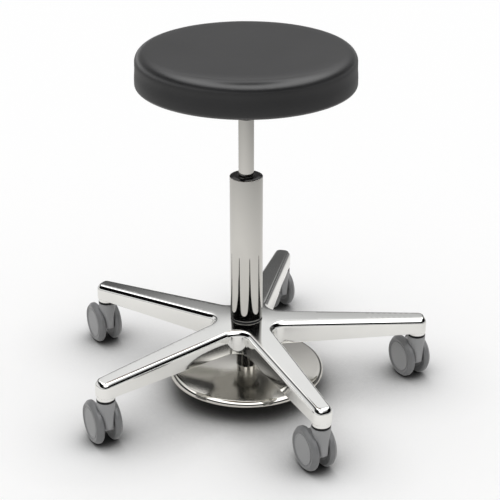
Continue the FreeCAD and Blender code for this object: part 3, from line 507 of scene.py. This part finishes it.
def sweep_wire(bm, path, thickness, sides):
    """Adds a round wire, thickness in radius, that follows a list of points."""
    rings = []
    side = Vector()
    for index, spot in enumerate(path):
        ahead = (path[min(index + 1, len(path) - 1)] - path[max(index - 1, 0)]).normalized()
        if index == 0:
            side = ahead.orthogonal()
        side = (side - ahead * side.dot(ahead)).normalized()
        up = ahead.cross(side)
        rings.append([
            bm.verts.new(spot + thickness * (math.cos(turn) * side + math.sin(turn) * up))
            for turn in (2 * math.pi * part / sides for part in range(sides))])
    for lower, upper in zip(rings, rings[1:]):
        loop_faces(bm, lower, upper)
    bm.faces.new(rings[0])
    bm.faces.new(rings[-1])


STAPLE_COUNT = 44
STAPLE_HALF = 5 * MM
STAPLE_LEG = 1.5 * MM
STAPLE_BEND = 0.8 * MM
STAPLE_WIRE = 0.45 * MM
STAPLE_FROM_LIP = 9 * MM
STAPLE_LEAN = 0.22
STAPLE_LEAN_STEP = 2.4


def make_staples():
    """Wire staples round the drawn-under edge of the cover, their legs driven up into it."""
    height = low("seat_cover").z - STAPLE_WIRE / 2
    radius = high("seat_cover").x - COVER_LIP + STAPLE_FROM_LIP
    bent = rounded([
        (-STAPLE_HALF, STAPLE_LEG),
        (-STAPLE_HALF, 0, STAPLE_BEND),
        (STAPLE_HALF, 0, STAPLE_BEND),
        (STAPLE_HALF, STAPLE_LEG),
    ], False, 4)
    bm = bmesh.new()
    for number in range(STAPLE_COUNT):
        lean = STAPLE_LEAN * math.sin(number * STAPLE_LEAN_STEP)
        place = (Matrix.Rotation(2 * math.pi * number / STAPLE_COUNT, 4, "Z")
                 @ Matrix.Translation((radius, 0, height)) @ Matrix.Rotation(lean, 4, "Z"))
        sweep_wire(bm, [place @ Vector((0, across, rise)) for across, rise in bent],
                   STAPLE_WIRE, 8)
    settle(new_piece("staples", bm), "seat", "zinc_steel")


def make_socket():
    """The tapered socket under the seat, with a rolled mouth and its weld flare."""
    base = low("seat_socket").z
    top = high("seat_socket").z
    bore = 12.3 * MM
    flare = 30 * MM
    settle(lathe("socket", [
        (bore + 0.8 * MM, base),
        (14.9 * MM, base, 0.8 * MM),
        (15.2 * MM, base + 4 * MM, 2 * MM),
        (19 * MM, top - 12 * MM, 6 * MM),
        (flare, top - 0.4 * MM, 0.8 * MM),
        (flare, top),
        (bore, top),
    ], 96, 6), "seat", "black_steel", "seat_socket")


# ---------------------------------------------------------------- column

FIT = 0.05 * MM     # between the guide's cap and the tube that it sits in


def make_column():
    """The outer tube, stepped at its mouth for the guide's cap, and the ring at its foot."""
    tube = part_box("column_tube")
    radius = tube[1].x
    base = tube[0].z
    top = tube[1].z
    rim = radius - 1 * MM
    bore = radius - 2 * MM
    step = top - 3 * MM
    settle(lathe("outer_tube", [
        (bore, base, 0.3 * MM),
        (radius, base, 0.6 * MM),
        (radius, top, 0.7 * MM),
        (rim, top, 0.2 * MM),
        (rim, step),
        (bore, step),
    ], 160, 8), "base", "chrome", "column_tube")
    bush_bottom = low("guide_bush").z
    crown = high("guide_bush").z
    settle(lathe("guide_cap", [
        (SLIDE_BORE, bush_bottom),
        (bore - FIT, bush_bottom),
        (bore - FIT, step),
        (rim - FIT, step),
        (rim - FIT, top - 0.3 * MM, 0.3 * MM),
        (SLIDE_BORE + 7 * MM, crown, 6 * MM),
        (SLIDE_BORE, crown, 0.5 * MM),
    ], 128, 6), "base", "gloss_black_plastic", "guide_bush")
    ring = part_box("column_ring")
    settle(lathe("seal_ring", [
        (COLUMN_BORE, ring[0].z),
        (ring[1].x, ring[0].z, 0.5 * MM),
        (ring[1].x, ring[1].z, 0.5 * MM),
        (COLUMN_BORE, ring[1].z),
    ], 128, 4), "base", "black_plastic", "column_ring")


def make_gas_cylinder():
    """The rod that carries the seat, tapered where it enters the socket and open below."""
    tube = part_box("gas_cylinder")
    radius = tube[1].x
    base = tube[0].z
    top = tube[1].z
    bore = radius - 1.5 * MM
    roof = top - 6 * MM
    settle(lathe("gas_tube", [
        (bore, base),
        (radius, base, 0.5 * MM),
        (radius, top - 60 * MM),
        (radius - 0.8 * MM, top, 0.5 * MM),
        (0, top),
        (0, roof),
        (bore, roof),
    ], 128, 4), "seat", "chrome", "gas_cylinder")


# ---------------------------------------------------------------- star base

# plan of an arm: half its width at the axis and at the stem, how far it passes the stem, and
# the roundings of its tip and between arms; then the bevel along its top edges
ARM_ROOT = 27 * MM
ARM_TIP = 16.4 * MM
ARM_FRONT = 15.2 * MM
TIP_ROUND = 13 * MM
CROTCH_ROUND = 23 * MM
BEVEL_WIDTH = 5.3 * MM
BEVEL_DROP = 7.6 * MM
BEVEL_LOW_ROUND = 10.5 * MM
BEVEL_TOP_ROUND = 5 * MM
FOOT_ROUND = 1.2 * MM
ARC_STEPS = 12
SIDE_STEPS = 24
BORE_SEGMENTS = 96

# the top face falls from the hub's flat to the stems, the underside rises from its belly
HUB_FLAT = 27 * MM
HUB_DEPTH = 44 * MM
HUB_CHAMFER = 1 * MM
ARM_FALL = 12 * MM
BELLY_RADIUS = 60 * MM
BELLY_LIFT = 3 * MM

# the hollow under each arm, and the boss round each stem
ARM_WALL = 4.5 * MM
CHANNEL_START = 66 * MM
CHANNEL_END = 279.6 * MM
CHANNEL_ROOF = 118 * MM
BOSS_RADIUS = 15.4 * MM
BOSS_HEIGHT = 8 * MM

# spacing of the triangles that fill the top and the underside, how close their rows are and how
# near an edge they start, as parts of it, and the distance at which two points are one
TOP_SPACING = 5 * MM
BOTTOM_SPACING = 8 * MM
ROW_PITCH = 0.87
EDGE_MARGIN = 0.6
SAME_POINT = 1e-7

TAPER = (ARM_ROOT - ARM_TIP) / CASTER_CIRCLE
TAPER_LENGTH = math.hypot(1, TAPER)
HUB_TOP = high("star_base").z
HUB_BOTTOM = HUB_TOP - HUB_DEPTH
TOP_FALL = ARM_FALL / (CASTER_CIRCLE - HUB_FLAT)
BELLY_RISE = BELLY_LIFT / (CASTER_CIRCLE - BELLY_RADIUS)


def top_height(radius):
    """Height of the base's top face at a distance from the axis."""
    return HUB_TOP - TOP_FALL * max(0, radius - HUB_FLAT)


def bottom_height(radius):
    """Height of the base's underside at a distance from the axis."""
    return HUB_BOTTOM + BELLY_RISE * max(0, radius - BELLY_RADIUS)


def crotch_centre(inset):
    """Middle of the arc that joins two arms' sides, on the line midway between the arms."""
    root = ARM_ROOT - inset * TAPER_LENGTH
    crotch = CROTCH_ROUND + inset
    bisector = ARM_STEP / 2
    reach = (crotch * TAPER_LENGTH + root) / (math.sin(bisector) + TAPER * math.cos(bisector))
    return Vector((reach * math.cos(bisector), reach * math.sin(bisector)))


def half_arm_outline(inset):
    """Plan of half an arm along X, from the crotch's middle to the front's middle."""
    root = ARM_ROOT - inset * TAPER_LENGTH
    front = CASTER_CIRCLE + ARM_FRONT - inset
    crotch = CROTCH_ROUND + inset
    centre = crotch_centre(inset)
    side_normal = Vector((TAPER, 1)) / TAPER_LENGTH
    start = math.atan2(-centre.y, -centre.x)
    end = math.atan2(-side_normal.y, -side_normal.x)
    points = []
    for step in range(ARC_STEPS + 1):
        angle = start + (end - start) * step / ARC_STEPS
        points.append(centre + crotch * Vector((math.cos(angle), math.sin(angle))))
    corner = (front, root - TAPER * front, TIP_ROUND - inset)
    arc = rounded([points[-1], corner, (front, 0)], False, ARC_STEPS)[1:]
    side_start = points[-1]
    for step in range(1, SIDE_STEPS):
        points.append(side_start.lerp(arc[0], step / SIDE_STEPS))
    return points + arc


def plan_outline(inset):
    """The whole plan of the base as a ring of points, the same number at every inset."""
    half = half_arm_outline(inset)
    arm = [Vector((point.x, -point.y)) for point in half] + half[-2::-1]
    ring = []
    for number in range(ARM_COUNT):
        spin = Matrix.Rotation(ARM_STEP * number, 2)
        ring += [spin @ point for point in arm[:-1]]
    return ring


def place_on_arm(point):
    """How far a plan point lies along its nearest arm, and how far to the side of it."""
    angle = math.atan2(point.y, point.x)
    angle -= round(angle / ARM_STEP) * ARM_STEP
    return point.length * math.cos(angle), abs(point.length * math.sin(angle))


def inside_outline(point, inset):
    """Whether a plan point lies at least inset inside the outline."""
    along, across = place_on_arm(point)
    root = ARM_ROOT - inset * TAPER_LENGTH
    if across < root - TAPER * along and along < CASTER_CIRCLE + ARM_FRONT - inset:
        return True
    crotch = CROTCH_ROUND + inset
    centre = crotch_centre(inset)
    tangent = centre - crotch * Vector((TAPER, 1)) / TAPER_LENGTH
    return along < tangent.x and (Vector((along, across)) - centre).length > crotch


def circle_points(radius, count):
    """Plan points evenly round a circle about the axis."""
    return [Vector((radius * math.cos(2 * math.pi * part / count),
                    radius * math.sin(2 * math.pi * part / count))) for part in range(count)]


def fill_between(bm, loops, height, wanted, spacing):
    """Fills the plan area between loops of vertices with a grid of triangles, at the height
    that height(radius) gives; wanted(point) says which points lie in the area."""
    verts = [vert for loop in loops for vert in loop]
    spots = [vert.co.xy for vert in verts]
    edges = []
    first = 0
    for loop in loops:
        edges += [(first + part, first + (part + 1) % len(loop)) for part in range(len(loop))]
        first += len(loop)
    limit = max(spot.length for spot in spots)
    count = math.ceil(limit / spacing)
    near = kdtree.KDTree(len(spots))
    for index, spot in enumerate(spots):
        near.insert((*spot, 0), index)
    near.balance()
    grid = []
    for column in range(-count, count + 1):
        for row in range(-count, count + 1):
            spot = Vector(((column + row % 2 / 2) * spacing, row * spacing * ROW_PITCH))
            if wanted(spot) and near.find((*spot, 0))[2] > spacing * EDGE_MARGIN:
                grid.append(spot)
    flat, _, faces, origins, _, _ = geometry.delaunay_2d_cdt(
        spots + grid, edges, [], 0, SAME_POINT)
    made = {}

    def vertex(index):
        """The vertex at a point of the triangulation: a loop's own, or a new one."""
        if index not in made:
            source = min(origins[index]) if origins[index] else None
            if source is not None and source < len(verts):
                made[index] = verts[source]
            else:
                spot = flat[index]
                made[index] = bm.verts.new((spot.x, spot.y, height(spot.length)))
        return made[index]

    for face in faces:
        middle = sum((flat[index] for index in face), Vector((0, 0))) / len(face)
        if wanted(middle):
            bm.faces.new([vertex(index) for index in face])


def channel_corners(turn):
    """Plan of the hollow under one arm, its corners rounded."""
    near = ARM_ROOT - TAPER * CHANNEL_START - ARM_WALL
    far = ARM_ROOT - TAPER * CHANNEL_END - ARM_WALL
    corners = rounded([
        (CHANNEL_START, -near, 8 * MM),
        (CHANNEL_END, -far, 6 * MM),
        (CHANNEL_END, far, 6 * MM),
        (CHANNEL_START, near, 8 * MM),
    ], True, 5)
    spin = Matrix.Rotation(turn, 2)
    return [spin @ corner for corner in corners]


def in_channel(point):
    """Whether a plan point lies in the hollow under an arm."""
    along, across = place_on_arm(point)
    return (CHANNEL_START < along < CHANNEL_END
            and across < ARM_ROOT - TAPER * along - ARM_WALL)


def ring_at(bm, spots, height, offset=0):
    """Vertices at plan points, offset from the height that height(radius) gives."""
    return [bm.verts.new((*spot, height(spot.length) + offset)) for spot in spots]


def level_ring(bm, spots, height):
    """Vertices at plan points, all at one height."""
    return [bm.verts.new((*spot, height)) for spot in spots]


def make_star_base():
    """The cast base: bevelled top edges, upright sides and a hollow under each arm."""
    edge_top = rounded([
        (0, -30 * MM),
        (0, -BEVEL_DROP, BEVEL_LOW_ROUND),
        (BEVEL_WIDTH, 0, BEVEL_TOP_ROUND),
        (BEVEL_WIDTH + 12 * MM, 0),
    ], False, 9)[1:-1]
    edge_foot = rounded([(4 * MM, 0), (0, 0, FOOT_ROUND), (0, 8 * MM)], False, 4)[1:-1]
    bm = bmesh.new()
    rings = [ring_at(bm, plan_outline(inset), bottom_height, rise)
             for inset, rise in edge_foot]
    rings += [ring_at(bm, plan_outline(inset), top_height, drop) for inset, drop in edge_top]
    bore = [level_ring(bm, circle_points(radius, BORE_SEGMENTS), height)
            for radius, height in ((COLUMN_BORE + HUB_CHAMFER, HUB_BOTTOM),
                                   (COLUMN_BORE, HUB_BOTTOM + HUB_CHAMFER),
                                   (COLUMN_BORE, HUB_TOP))]
    for stack in (rings, bore):
        for lower, upper in zip(stack, stack[1:]):
            loop_faces(bm, lower, upper)
    fill_between(bm, [rings[-1], bore[-1]], top_height,
                 lambda spot: (spot.length > COLUMN_BORE
                               and inside_outline(spot, edge_top[-1][0])), TOP_SPACING)
    mouths = []
    for number in range(ARM_COUNT):
        corners = channel_corners(ARM_STEP * number)
        mouth = ring_at(bm, corners, bottom_height)
        roof = level_ring(bm, corners, CHANNEL_ROOF)
        loop_faces(bm, mouth, roof)
        bm.faces.new(roof)
        mouths.append(mouth)
    fill_between(bm, [rings[0], bore[0]] + mouths, bottom_height,
                 lambda spot: (spot.length > COLUMN_BORE + HUB_CHAMFER
                               and not in_channel(spot)
                               and inside_outline(spot, edge_foot[0][0])), BOTTOM_SPACING)
    base = new_piece("arm_casting", bm, CASTING_SHARP_ANGLE)
    boss_bottom = low("star_base").z
    bosses = bmesh.new()
    turn_at_stems(bosses, rounded([
        (STEM_BORE, boss_bottom),
        (BOSS_RADIUS, boss_bottom, 1.2 * MM),
        (BOSS_RADIUS, boss_bottom + BOSS_HEIGHT),
        (STEM_BORE, boss_bottom + BOSS_HEIGHT),
    ], True, 5), 64)
    settle(base, "base", "polished_aluminium", "star_base")
    settle(new_piece("stem_bosses", bosses), "base", "polished_aluminium")


# ---------------------------------------------------------------- foot disc and its post

def make_foot_disc():
    """The foot plate, a low dome with its edge rolled down, in one skin with its post."""
    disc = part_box("foot_disc")
    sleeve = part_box("disc_sleeve")
    radius = disc[1].x
    bottom = disc[0].z
    crown = disc[1].z
    edge = crown - 2.5 * MM
    sheet = 2 * MM
    roll = 8 * MM
    post = 17.5 * MM
    flange = sleeve[1].x
    flange_low = sleeve[1].z - 2.5 * MM
    plate = lathe("foot_plate", [
        (POST_BORE, sleeve[0].z),
        (post, sleeve[0].z, 0.5 * MM),
        (post, crown - sheet),
        (radius - sheet, edge - sheet, roll - sheet),
        (radius - sheet, bottom, 0.3 * MM),
        (radius, bottom, 0.3 * MM),
        (radius, edge, roll),
        (post, crown, 0.8 * MM),
        (post, flange_low, 1.0 * MM),
        (flange, flange_low, 0.6 * MM),
        (flange, sleeve[1].z, 0.6 * MM),
        (POST_BORE, sleeve[1].z),
    ], 224, 14)
    settle(plate, "foot_ring_disc", "chrome", "foot_disc", "disc_sleeve", material=DISC_STEEL)


def make_guide():
    """The flanged guide that the disc's post slides on, and the nut under its spring."""
    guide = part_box("release_guide")
    bore = 7 * MM
    radius = 9 * MM
    flange = guide[1].x
    flange_low = guide[1].z - 3 * MM
    settle(lathe("post_guide", [
        (bore, guide[0].z),
        (radius, guide[0].z, 0.6 * MM),
        (radius, flange_low, 0.8 * MM),
        (flange, flange_low, 0.4 * MM),
        (flange, guide[1].z),
        (bore, guide[1].z),
    ], 96, 5), "base", "zinc_steel", "release_guide")
    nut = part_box("guide_nut")
    outer = nut[1].x
    inner = radius + 0.02 * MM
    chamfer = 1.2 * MM
    settle(lathe("spring_nut", [
        (inner, nut[0].z),
        (outer - chamfer, nut[0].z, 0.6 * MM),
        (outer, nut[0].z + chamfer, 0.6 * MM),
        (outer, nut[1].z, 0.4 * MM),
        (inner, nut[1].z),
    ], 96, 4), "base", "zinc_steel", "guide_nut")


SPRING_WIRE = 0.6 * MM
SPRING_TURNS = 3.5
SPRING_STEPS = 200


def make_spring():
    """The coil that lifts the disc."""
    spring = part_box("return_spring")
    radius = spring[1].x - SPRING_WIRE
    start = spring[0].z + SPRING_WIRE
    end = spring[1].z - SPRING_WIRE
    path = []
    for step in range(SPRING_STEPS + 1):
        part = step / SPRING_STEPS
        angle = 2 * math.pi * SPRING_TURNS * part
        path.append(Vector((radius * math.cos(angle), radius * math.sin(angle),
                            start + (end - start) * part)))
    bm = bmesh.new()
    sweep_wire(bm, path, SPRING_WIRE, 10)
    coil = new_piece("lift_spring", bm)
    settle(coil, "base", "polished_steel", "return_spring")
    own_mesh(coil)


# ---------------------------------------------------------------- casters

WHEEL_RADIUS = 37.5 * MM
WHEEL_INNER = 9.4 * MM
WHEEL_WIDTH = 13.6 * MM
HUB_FACE = 26.0 * MM
TREAD_INNER = HUB_FACE + 0.02 * MM
TRAIL = 20 * MM
NECK_RADIUS = 15.6 * MM
WEB = 8.5 * MM
WEB_RADIUS = 30 * MM
SKIRT = 5 * MM
SECTION_SEGMENTS = 48
FRAME_VOXEL = 0.7 * MM
HEADING = math.radians(292)
UPRIGHT = Matrix.Rotation(math.pi / 2, 4, "X")
TO_AXLE = Matrix.Translation((-TRAIL, 0, WHEEL_RADIUS))


def make_wheel():
    """One wheel turned about Z with its inner face down: a paler hub face and a domed tread."""
    outer = WHEEL_INNER + WHEEL_WIDTH
    core = lathe("wheel_core", [
        (AXLE_BORE, WHEEL_INNER),
        (HUB_FACE, WHEEL_INNER),
        (HUB_FACE, outer - 1.0 * MM),
        (HUB_FACE - 0.9 * MM, outer - 0.4 * MM, 0.6 * MM),
        (HUB_FACE - 2.4 * MM, outer - 1.3 * MM, 0.8 * MM),
        (HUB_FACE - 5.0 * MM, outer - 1.0 * MM, 2 * MM),
        (0, outer - 0.5 * MM),
        (0, outer - 3 * MM),
        (AXLE_BORE, outer - 3 * MM),
    ], 96, 5)
    tread = lathe("wheel_tread", [
        (TREAD_INNER, WHEEL_INNER + 0.3 * MM),
        (WHEEL_RADIUS - 3 * MM, WHEEL_INNER, 2 * MM),
        (WHEEL_RADIUS, WHEEL_INNER + 3 * MM, 2 * MM),
        (WHEEL_RADIUS, outer - 5.6 * MM, 3 * MM),
        (WHEEL_RADIUS - 4.6 * MM, outer - 0.1 * MM, 1.6 * MM),
        (WHEEL_RADIUS - 6.6 * MM, outer - 0.1 * MM, 0.8 * MM),
        (HUB_FACE + 1.4 * MM, outer - 1.5 * MM, 1.2 * MM),
        (TREAD_INNER, outer - 1.5 * MM),
    ], 128, 7)
    return core, tread


def section_ring(bm, back, front, half, height, power):
    """One level cross section of the caster's frame: a rounded box whose corners square up
    as power grows."""
    middle = (front + back) / 2
    reach = (front - back) / 2
    ring = []
    for part in range(SECTION_SEGMENTS):
        angle = 2 * math.pi * part / SECTION_SEGMENTS
        c, s = math.cos(angle), math.sin(angle)
        ring.append(bm.verts.new((
            middle + reach * math.copysign(abs(c) ** (2 / power), c),
            half * math.copysign(abs(s) ** (2 / power), s),
            height)))
    return ring


def add_neck(bm, top):
    """The frame's round neck and the shield that it tapers into, as sections going down."""
    neck = NECK_RADIUS
    rings = [section_ring(bm, *section) for section in (
        (-neck + 1.0 * MM, neck - 1.0 * MM, neck - 1.0 * MM, top, 2),
        (-neck, neck, neck, top - 1.0 * MM, 2),
        (-neck, neck, neck, top - 6 * MM, 2),
        (-neck, neck - 0.1 * MM, 14.6 * MM, top - 11 * MM, 2.1),
        (-neck, neck - 0.5 * MM, 12.6 * MM, top - 18 * MM, 2.3),
        (-neck, neck - 0.8 * MM, 10.6 * MM, top - 25 * MM, 2.7),
        (-neck, neck - 1.1 * MM, 9.4 * MM, top - 32 * MM, 3.2),
        (-neck, neck - 1.3 * MM, WEB, top - 43 * MM, 3.4),
        (-neck, neck - 2.0 * MM, WEB - 1.0 * MM, top - 48.5 * MM, 3.2),
        (-neck + 2 * MM, neck - 5.0 * MM, WEB - 3.4 * MM, top - 51.6 * MM, 2.6),
    )]
    for upper, lower in zip(rings, rings[1:]):
        loop_faces(bm, lower, upper)
    bm.faces.new(rings[0])
    bm.faces.new(rings[-1])


def add_web(bm):
    """The web between the wheels: a round plate on the axle, cut off level under it."""
    before = set(bm.verts)
    spin_outline(bm, rounded([
        (0, -WEB),
        (WEB_RADIUS, -WEB, 1.5 * MM),
        (WEB_RADIUS, WEB, 1.5 * MM),
        (0, WEB),
    ], True, 3), 72)
    fresh = [vert for vert in bm.verts if vert not in before]
    chosen = set(fresh)
    cut = bmesh.ops.bisect_plane(
        bm, geom=fresh + [edge for edge in bm.edges if edge.verts[0] in chosen]
        + [face for face in bm.faces if face.verts[0] in chosen],
        plane_co=(0, -SKIRT, 0), plane_no=(0, -1, 0), clear_outer=True)
    rim = [item for item in cut["geom_cut"] if isinstance(item, bmesh.types.BMEdge)]
    bmesh.ops.contextual_create(bm, geom=rim)
    fresh = [vert for vert in bm.verts if vert not in before]
    bmesh.ops.transform(bm, matrix=TO_AXLE @ UPRIGHT, verts=fresh)


def make_caster_frame():
    """The mesh of a caster's frame as one moulded form: its neck, shield and web are closed
    forms that overlap, fused by a voxel remesh and then eased."""
    bm = bmesh.new()
    add_neck(bm, high("caster_1_body").z)
    add_web(bm)
    form = new_piece("caster_form", bm)
    remesh = form.modifiers.new("fuse", "REMESH")
    remesh.mode = "VOXEL"
    remesh.voxel_size = FRAME_VOXEL
    ease = form.modifiers.new("ease", "SMOOTH")
    ease.factor = 0.5
    ease.iterations = 6
    bpy.context.view_layer.update()
    graph = bpy.context.evaluated_depsgraph_get()
    fused = bpy.data.meshes.new_from_object(form.evaluated_get(graph))
    bpy.data.objects.remove(form)
    fused.shade_smooth()
    return fused


def placed_copy(name, mesh, place):
    """A new object with its own copy of a mesh, moved to its place."""
    piece = bpy.data.objects.new(name, mesh.copy())
    bpy.context.scene.collection.objects.link(piece)
    piece.data.transform(place)
    return piece


def make_casters():
    """Five casters, each a frame and two wheels on their own bodies, and the stems' collars."""
    fused = make_caster_frame()
    core, tread = make_wheel()
    for number in range(1, ARM_COUNT + 1):
        name = f"caster_{number}"
        spot = Matrix.Rotation(ARM_STEP * (number - 1), 4, "Z") @ Vector(
            (CASTER_CIRCLE, 0, 0))
        stand = Matrix.Translation(spot) @ Matrix.Rotation(HEADING, 4, "Z")
        body = placed_copy(f"{name}_frame", fused, stand)
        settle(body, name, "grey_plastic", f"{name}_body")
        for side, turn in (("left", -1), ("right", 1)):
            axle = TO_AXLE @ Matrix.Rotation(turn * math.pi / 2, 4, "X")
            for source, part, slot in ((core, "wheel", "grey_plastic"),
                                       (tread, "tread", "grey_tread")):
                piece = placed_copy(f"{name}_{part}_{side}_skin", source.data, stand @ axle)
                settle(piece, f"{name}_{side}", slot, f"{name}_{part}_{side}")
    for source in (core, tread):
        bpy.data.objects.remove(source)
    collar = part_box("caster_collars")
    radius = NECK_RADIUS - 0.1 * MM
    bm = bmesh.new()
    turn_at_stems(bm, rounded([
        (STEM_BORE, collar[0].z),
        (radius, collar[0].z, 0.8 * MM),
        (radius, collar[1].z, 0.8 * MM),
        (STEM_BORE, collar[1].z),
    ], True, 4), 72)
    settle(new_piece("collar_rings", bm), "base", "black_plastic", "caster_collars")


# ---------------------------------------------------------------- studio

# the floor's half width, how far round a point the painted shadow reaches, its painted shade by
# how open it is, and its colour to indirect light and in mirrors, where a painted pool of light
# fades with distance
FLOOR_HALF = 12
PAINTED_SHADOW_REACH = 0.16
PAINTED_SHADOW_STOPS = [(0, 0.02), (0.25, 0.07), (0.45, 0.24), (0.65, 0.56), (0.85, 0.88), (1, 1.0)]
FLOOR_BOUNCE = (0.6, 0.6, 0.6)
FLOOR_PAINTED_LIGHT_CENTRE = (-0.18, -0.1, 0)
FLOOR_PAINTED_LIGHT_FADE = (0.5, 2.2)
FLOOR_MIRRORED_NEAR = (1.0, 0.99, 0.97)
FLOOR_MIRRORED_FAR = (0.2, 0.2, 0.2)

# brightness by elevation in degrees: of the studio in mirrors, in front of the object and
# behind it, and of the light on everything else
FRONT_BANDS = [(-9, 0.9), (-2, 0.9), (3, 0.8), (5, 0.0), (30, 0.0), (31.5, 0.5), (33, 1.0),
               (38, 2.5), (68, 2.9), (76, 0.1), (90, 0.02)]
BACK_BANDS = [(-9, 0.9), (-2, 0.9), (3, 0.8), (5, 0.05), (12, 0.14), (17, 0.14), (20.9, 0.11),
              (22.9, 0.12), (23.7, 0.33), (25.5, 0.45), (27.5, 0.62), (31, 0.88), (38, 0.95),
              (44, 0.25), (50, 0.06), (90, 0.02)]
SKY_BANDS = [(-9, 0.4), (0, 0.4), (30, 0.85), (60, 1.2), (90, 1.3)]

# how the front turns into the back along Y, and by how many degrees the bands tilt to each side
FRONT_TO_BACK = (0.2, 0.75)
RIGHT_SHIFT = 5.5
LEFT_SHIFT = 12


def grey_ramp(tree, value, stops):
    """A brightness that follows stops of (position, level)."""
    node = tree.nodes.new("ShaderNodeValToRGB")
    ramp = node.color_ramp
    start, end = stops[0][0], stops[-1][0]
    while len(ramp.elements) > 1:
        ramp.elements.remove(ramp.elements[-1])
    for index, (position, level) in enumerate(stops):
        place = (position - start) / (end - start)
        element = ramp.elements[0] if index == 0 else ramp.elements.new(place)
        element.position = place
        element.color = (level, level, level, 1)
    tree.links.new(spread(tree, value, 0, 1, start, end), node.inputs[0])
    return node.outputs[0]


def make_floor():
    """A pale floor, white to the eye, whose colour to the camera greys softly close round the
    object: a painted shadow.
    """
    bm = bmesh.new()
    bmesh.ops.create_grid(bm, x_segments=1, y_segments=1, size=FLOOR_HALF)
    floor = new_piece("floor", bm)
    material, principled = shader("floor", (0.93, 0.93, 0.93), 0.9)
    principled.inputs["Specular IOR Level"].default_value = 0
    tree = material.node_tree
    rays = tree.nodes.new("ShaderNodeLightPath")
    near = tree.nodes.new("ShaderNodeAmbientOcclusion")
    near.samples = 12
    near.inputs["Distance"].default_value = PAINTED_SHADOW_REACH
    place = tree.nodes.new("ShaderNodeTexCoord")
    away = tree.nodes.new("ShaderNodeVectorMath")
    away.operation = "DISTANCE"
    away.inputs[1].default_value = FLOOR_PAINTED_LIGHT_CENTRE
    tree.links.new(place.outputs["Object"], away.inputs[0])
    # painted light in mirrors: the floor is brightest round one point and fades to dark grey
    # with distance
    mirrored = tint(tree, spread(tree, away.outputs["Value"], 0, 1, *FLOOR_PAINTED_LIGHT_FADE),
                    FLOOR_MIRRORED_NEAR, FLOOR_MIRRORED_FAR)
    plain = tint(tree, rays.outputs["Is Glossy Ray"], FLOOR_BOUNCE, mirrored)
    # painted shadow: the colour the camera sees darkens with the ambient occlusion round the
    # object
    seen = tint(tree, rays.outputs["Is Camera Ray"], plain,
                grey_ramp(tree, near.outputs["AO"], PAINTED_SHADOW_STOPS))
    tree.links.new(seen, principled.inputs["Base Color"])
    floor.data.materials.append(material)


def make_world():
    """Soft light from above, and in reflections a studio of bright bands between dark ones."""
    world = bpy.data.worlds.new("studio")
    bpy.context.scene.world = world
    world.use_nodes = True
    tree = world.node_tree
    tree.nodes.clear()
    rays = tree.nodes.new("ShaderNodeLightPath")
    place = tree.nodes.new("ShaderNodeTexCoord")
    split = tree.nodes.new("ShaderNodeSeparateXYZ")
    tree.links.new(place.outputs["Generated"], split.inputs[0])
    rise = math_node(tree, "ARCSINE", split.outputs["Z"])
    degrees = math_node(tree, "MULTIPLY", rise, math.degrees(1))
    right = math_node(tree, "MULTIPLY",
                      math_node(tree, "MAXIMUM", split.outputs["X"], 0), RIGHT_SHIFT)
    left = math_node(tree, "MULTIPLY",
                     math_node(tree, "MINIMUM", split.outputs["X"], 0), LEFT_SHIFT)
    ahead = math_node(tree, "ADD", degrees, left)
    behind = math_node(tree, "ADD", ahead, right)
    studio = tint(tree, spread(tree, split.outputs["Y"], 0, 1, *FRONT_TO_BACK),
                  grey_ramp(tree, ahead, FRONT_BANDS), grey_ramp(tree, behind, BACK_BANDS))
    mirrored = tint(tree, rays.outputs["Is Glossy Ray"],
                    grey_ramp(tree, degrees, SKY_BANDS), studio)
    seen = tint(tree, rays.outputs["Is Camera Ray"], mirrored, (1, 1, 1))
    light = tree.nodes.new("ShaderNodeBackground")
    out = tree.nodes.new("ShaderNodeOutputWorld")
    tree.links.new(seen, light.inputs["Color"])
    tree.links.new(light.outputs[0], out.inputs["Surface"])


CAMERA_DISTANCE = 2161.8 * MM
CAMERA_HEIGHT = 1258.7 * MM
CAMERA_AZIMUTH = math.radians(-94.87)
CAMERA_PITCH = math.radians(24.72)
CAMERA_YAW = math.radians(-0.165)
CAMERA_LENS = 100.14
CAMERA_SENSOR = 36


def make_camera():
    """The camera in front of the object and above it, turned to the object."""
    data = bpy.data.cameras.new("camera")
    data.lens = CAMERA_LENS
    data.sensor_width = CAMERA_SENSOR
    camera = bpy.data.objects.new("camera", data)
    bpy.context.scene.collection.objects.link(camera)
    camera.location = (CAMERA_DISTANCE * math.cos(CAMERA_AZIMUTH),
                       CAMERA_DISTANCE * math.sin(CAMERA_AZIMUTH), CAMERA_HEIGHT)
    camera.rotation_euler = (math.pi / 2 - CAMERA_PITCH, 0,
                             CAMERA_AZIMUTH + math.pi / 2 + CAMERA_YAW)
    bpy.context.scene.camera = camera


SOFT_EDGED = ("seat_plate", "seat_board", "seat_screws")
SOFT_EDGE = 0.6 * MM


def dress_frame():
    """The frame nodes that stay get their own materials, and the seen ones soft edges."""
    slots = {part["node"]: part["material_slot"] for part in frame["record"]["subparts"]}
    for name, node in frame["nodes"].items():
        if node.hide_render:
            continue
        node.data.materials.clear()
        node.data.materials.append(MATERIALS[slots[name]])
        if name in SOFT_EDGED:
            bevel = node.modifiers.new("soft_edges", "BEVEL")
            bevel.width = SOFT_EDGE
            bevel.segments = 3
            bevel.limit_method = "ANGLE"
            bevel.angle_limit = math.radians(40)


make_camera()
make_world()
make_floor()
make_cushion()
make_staples()
make_socket()
make_column()
make_gas_cylinder()
make_star_base()
make_foot_disc()
make_guide()
make_spring()
make_casters()
dress_frame()

bpy.context.scene.view_settings.view_transform = "Standard"
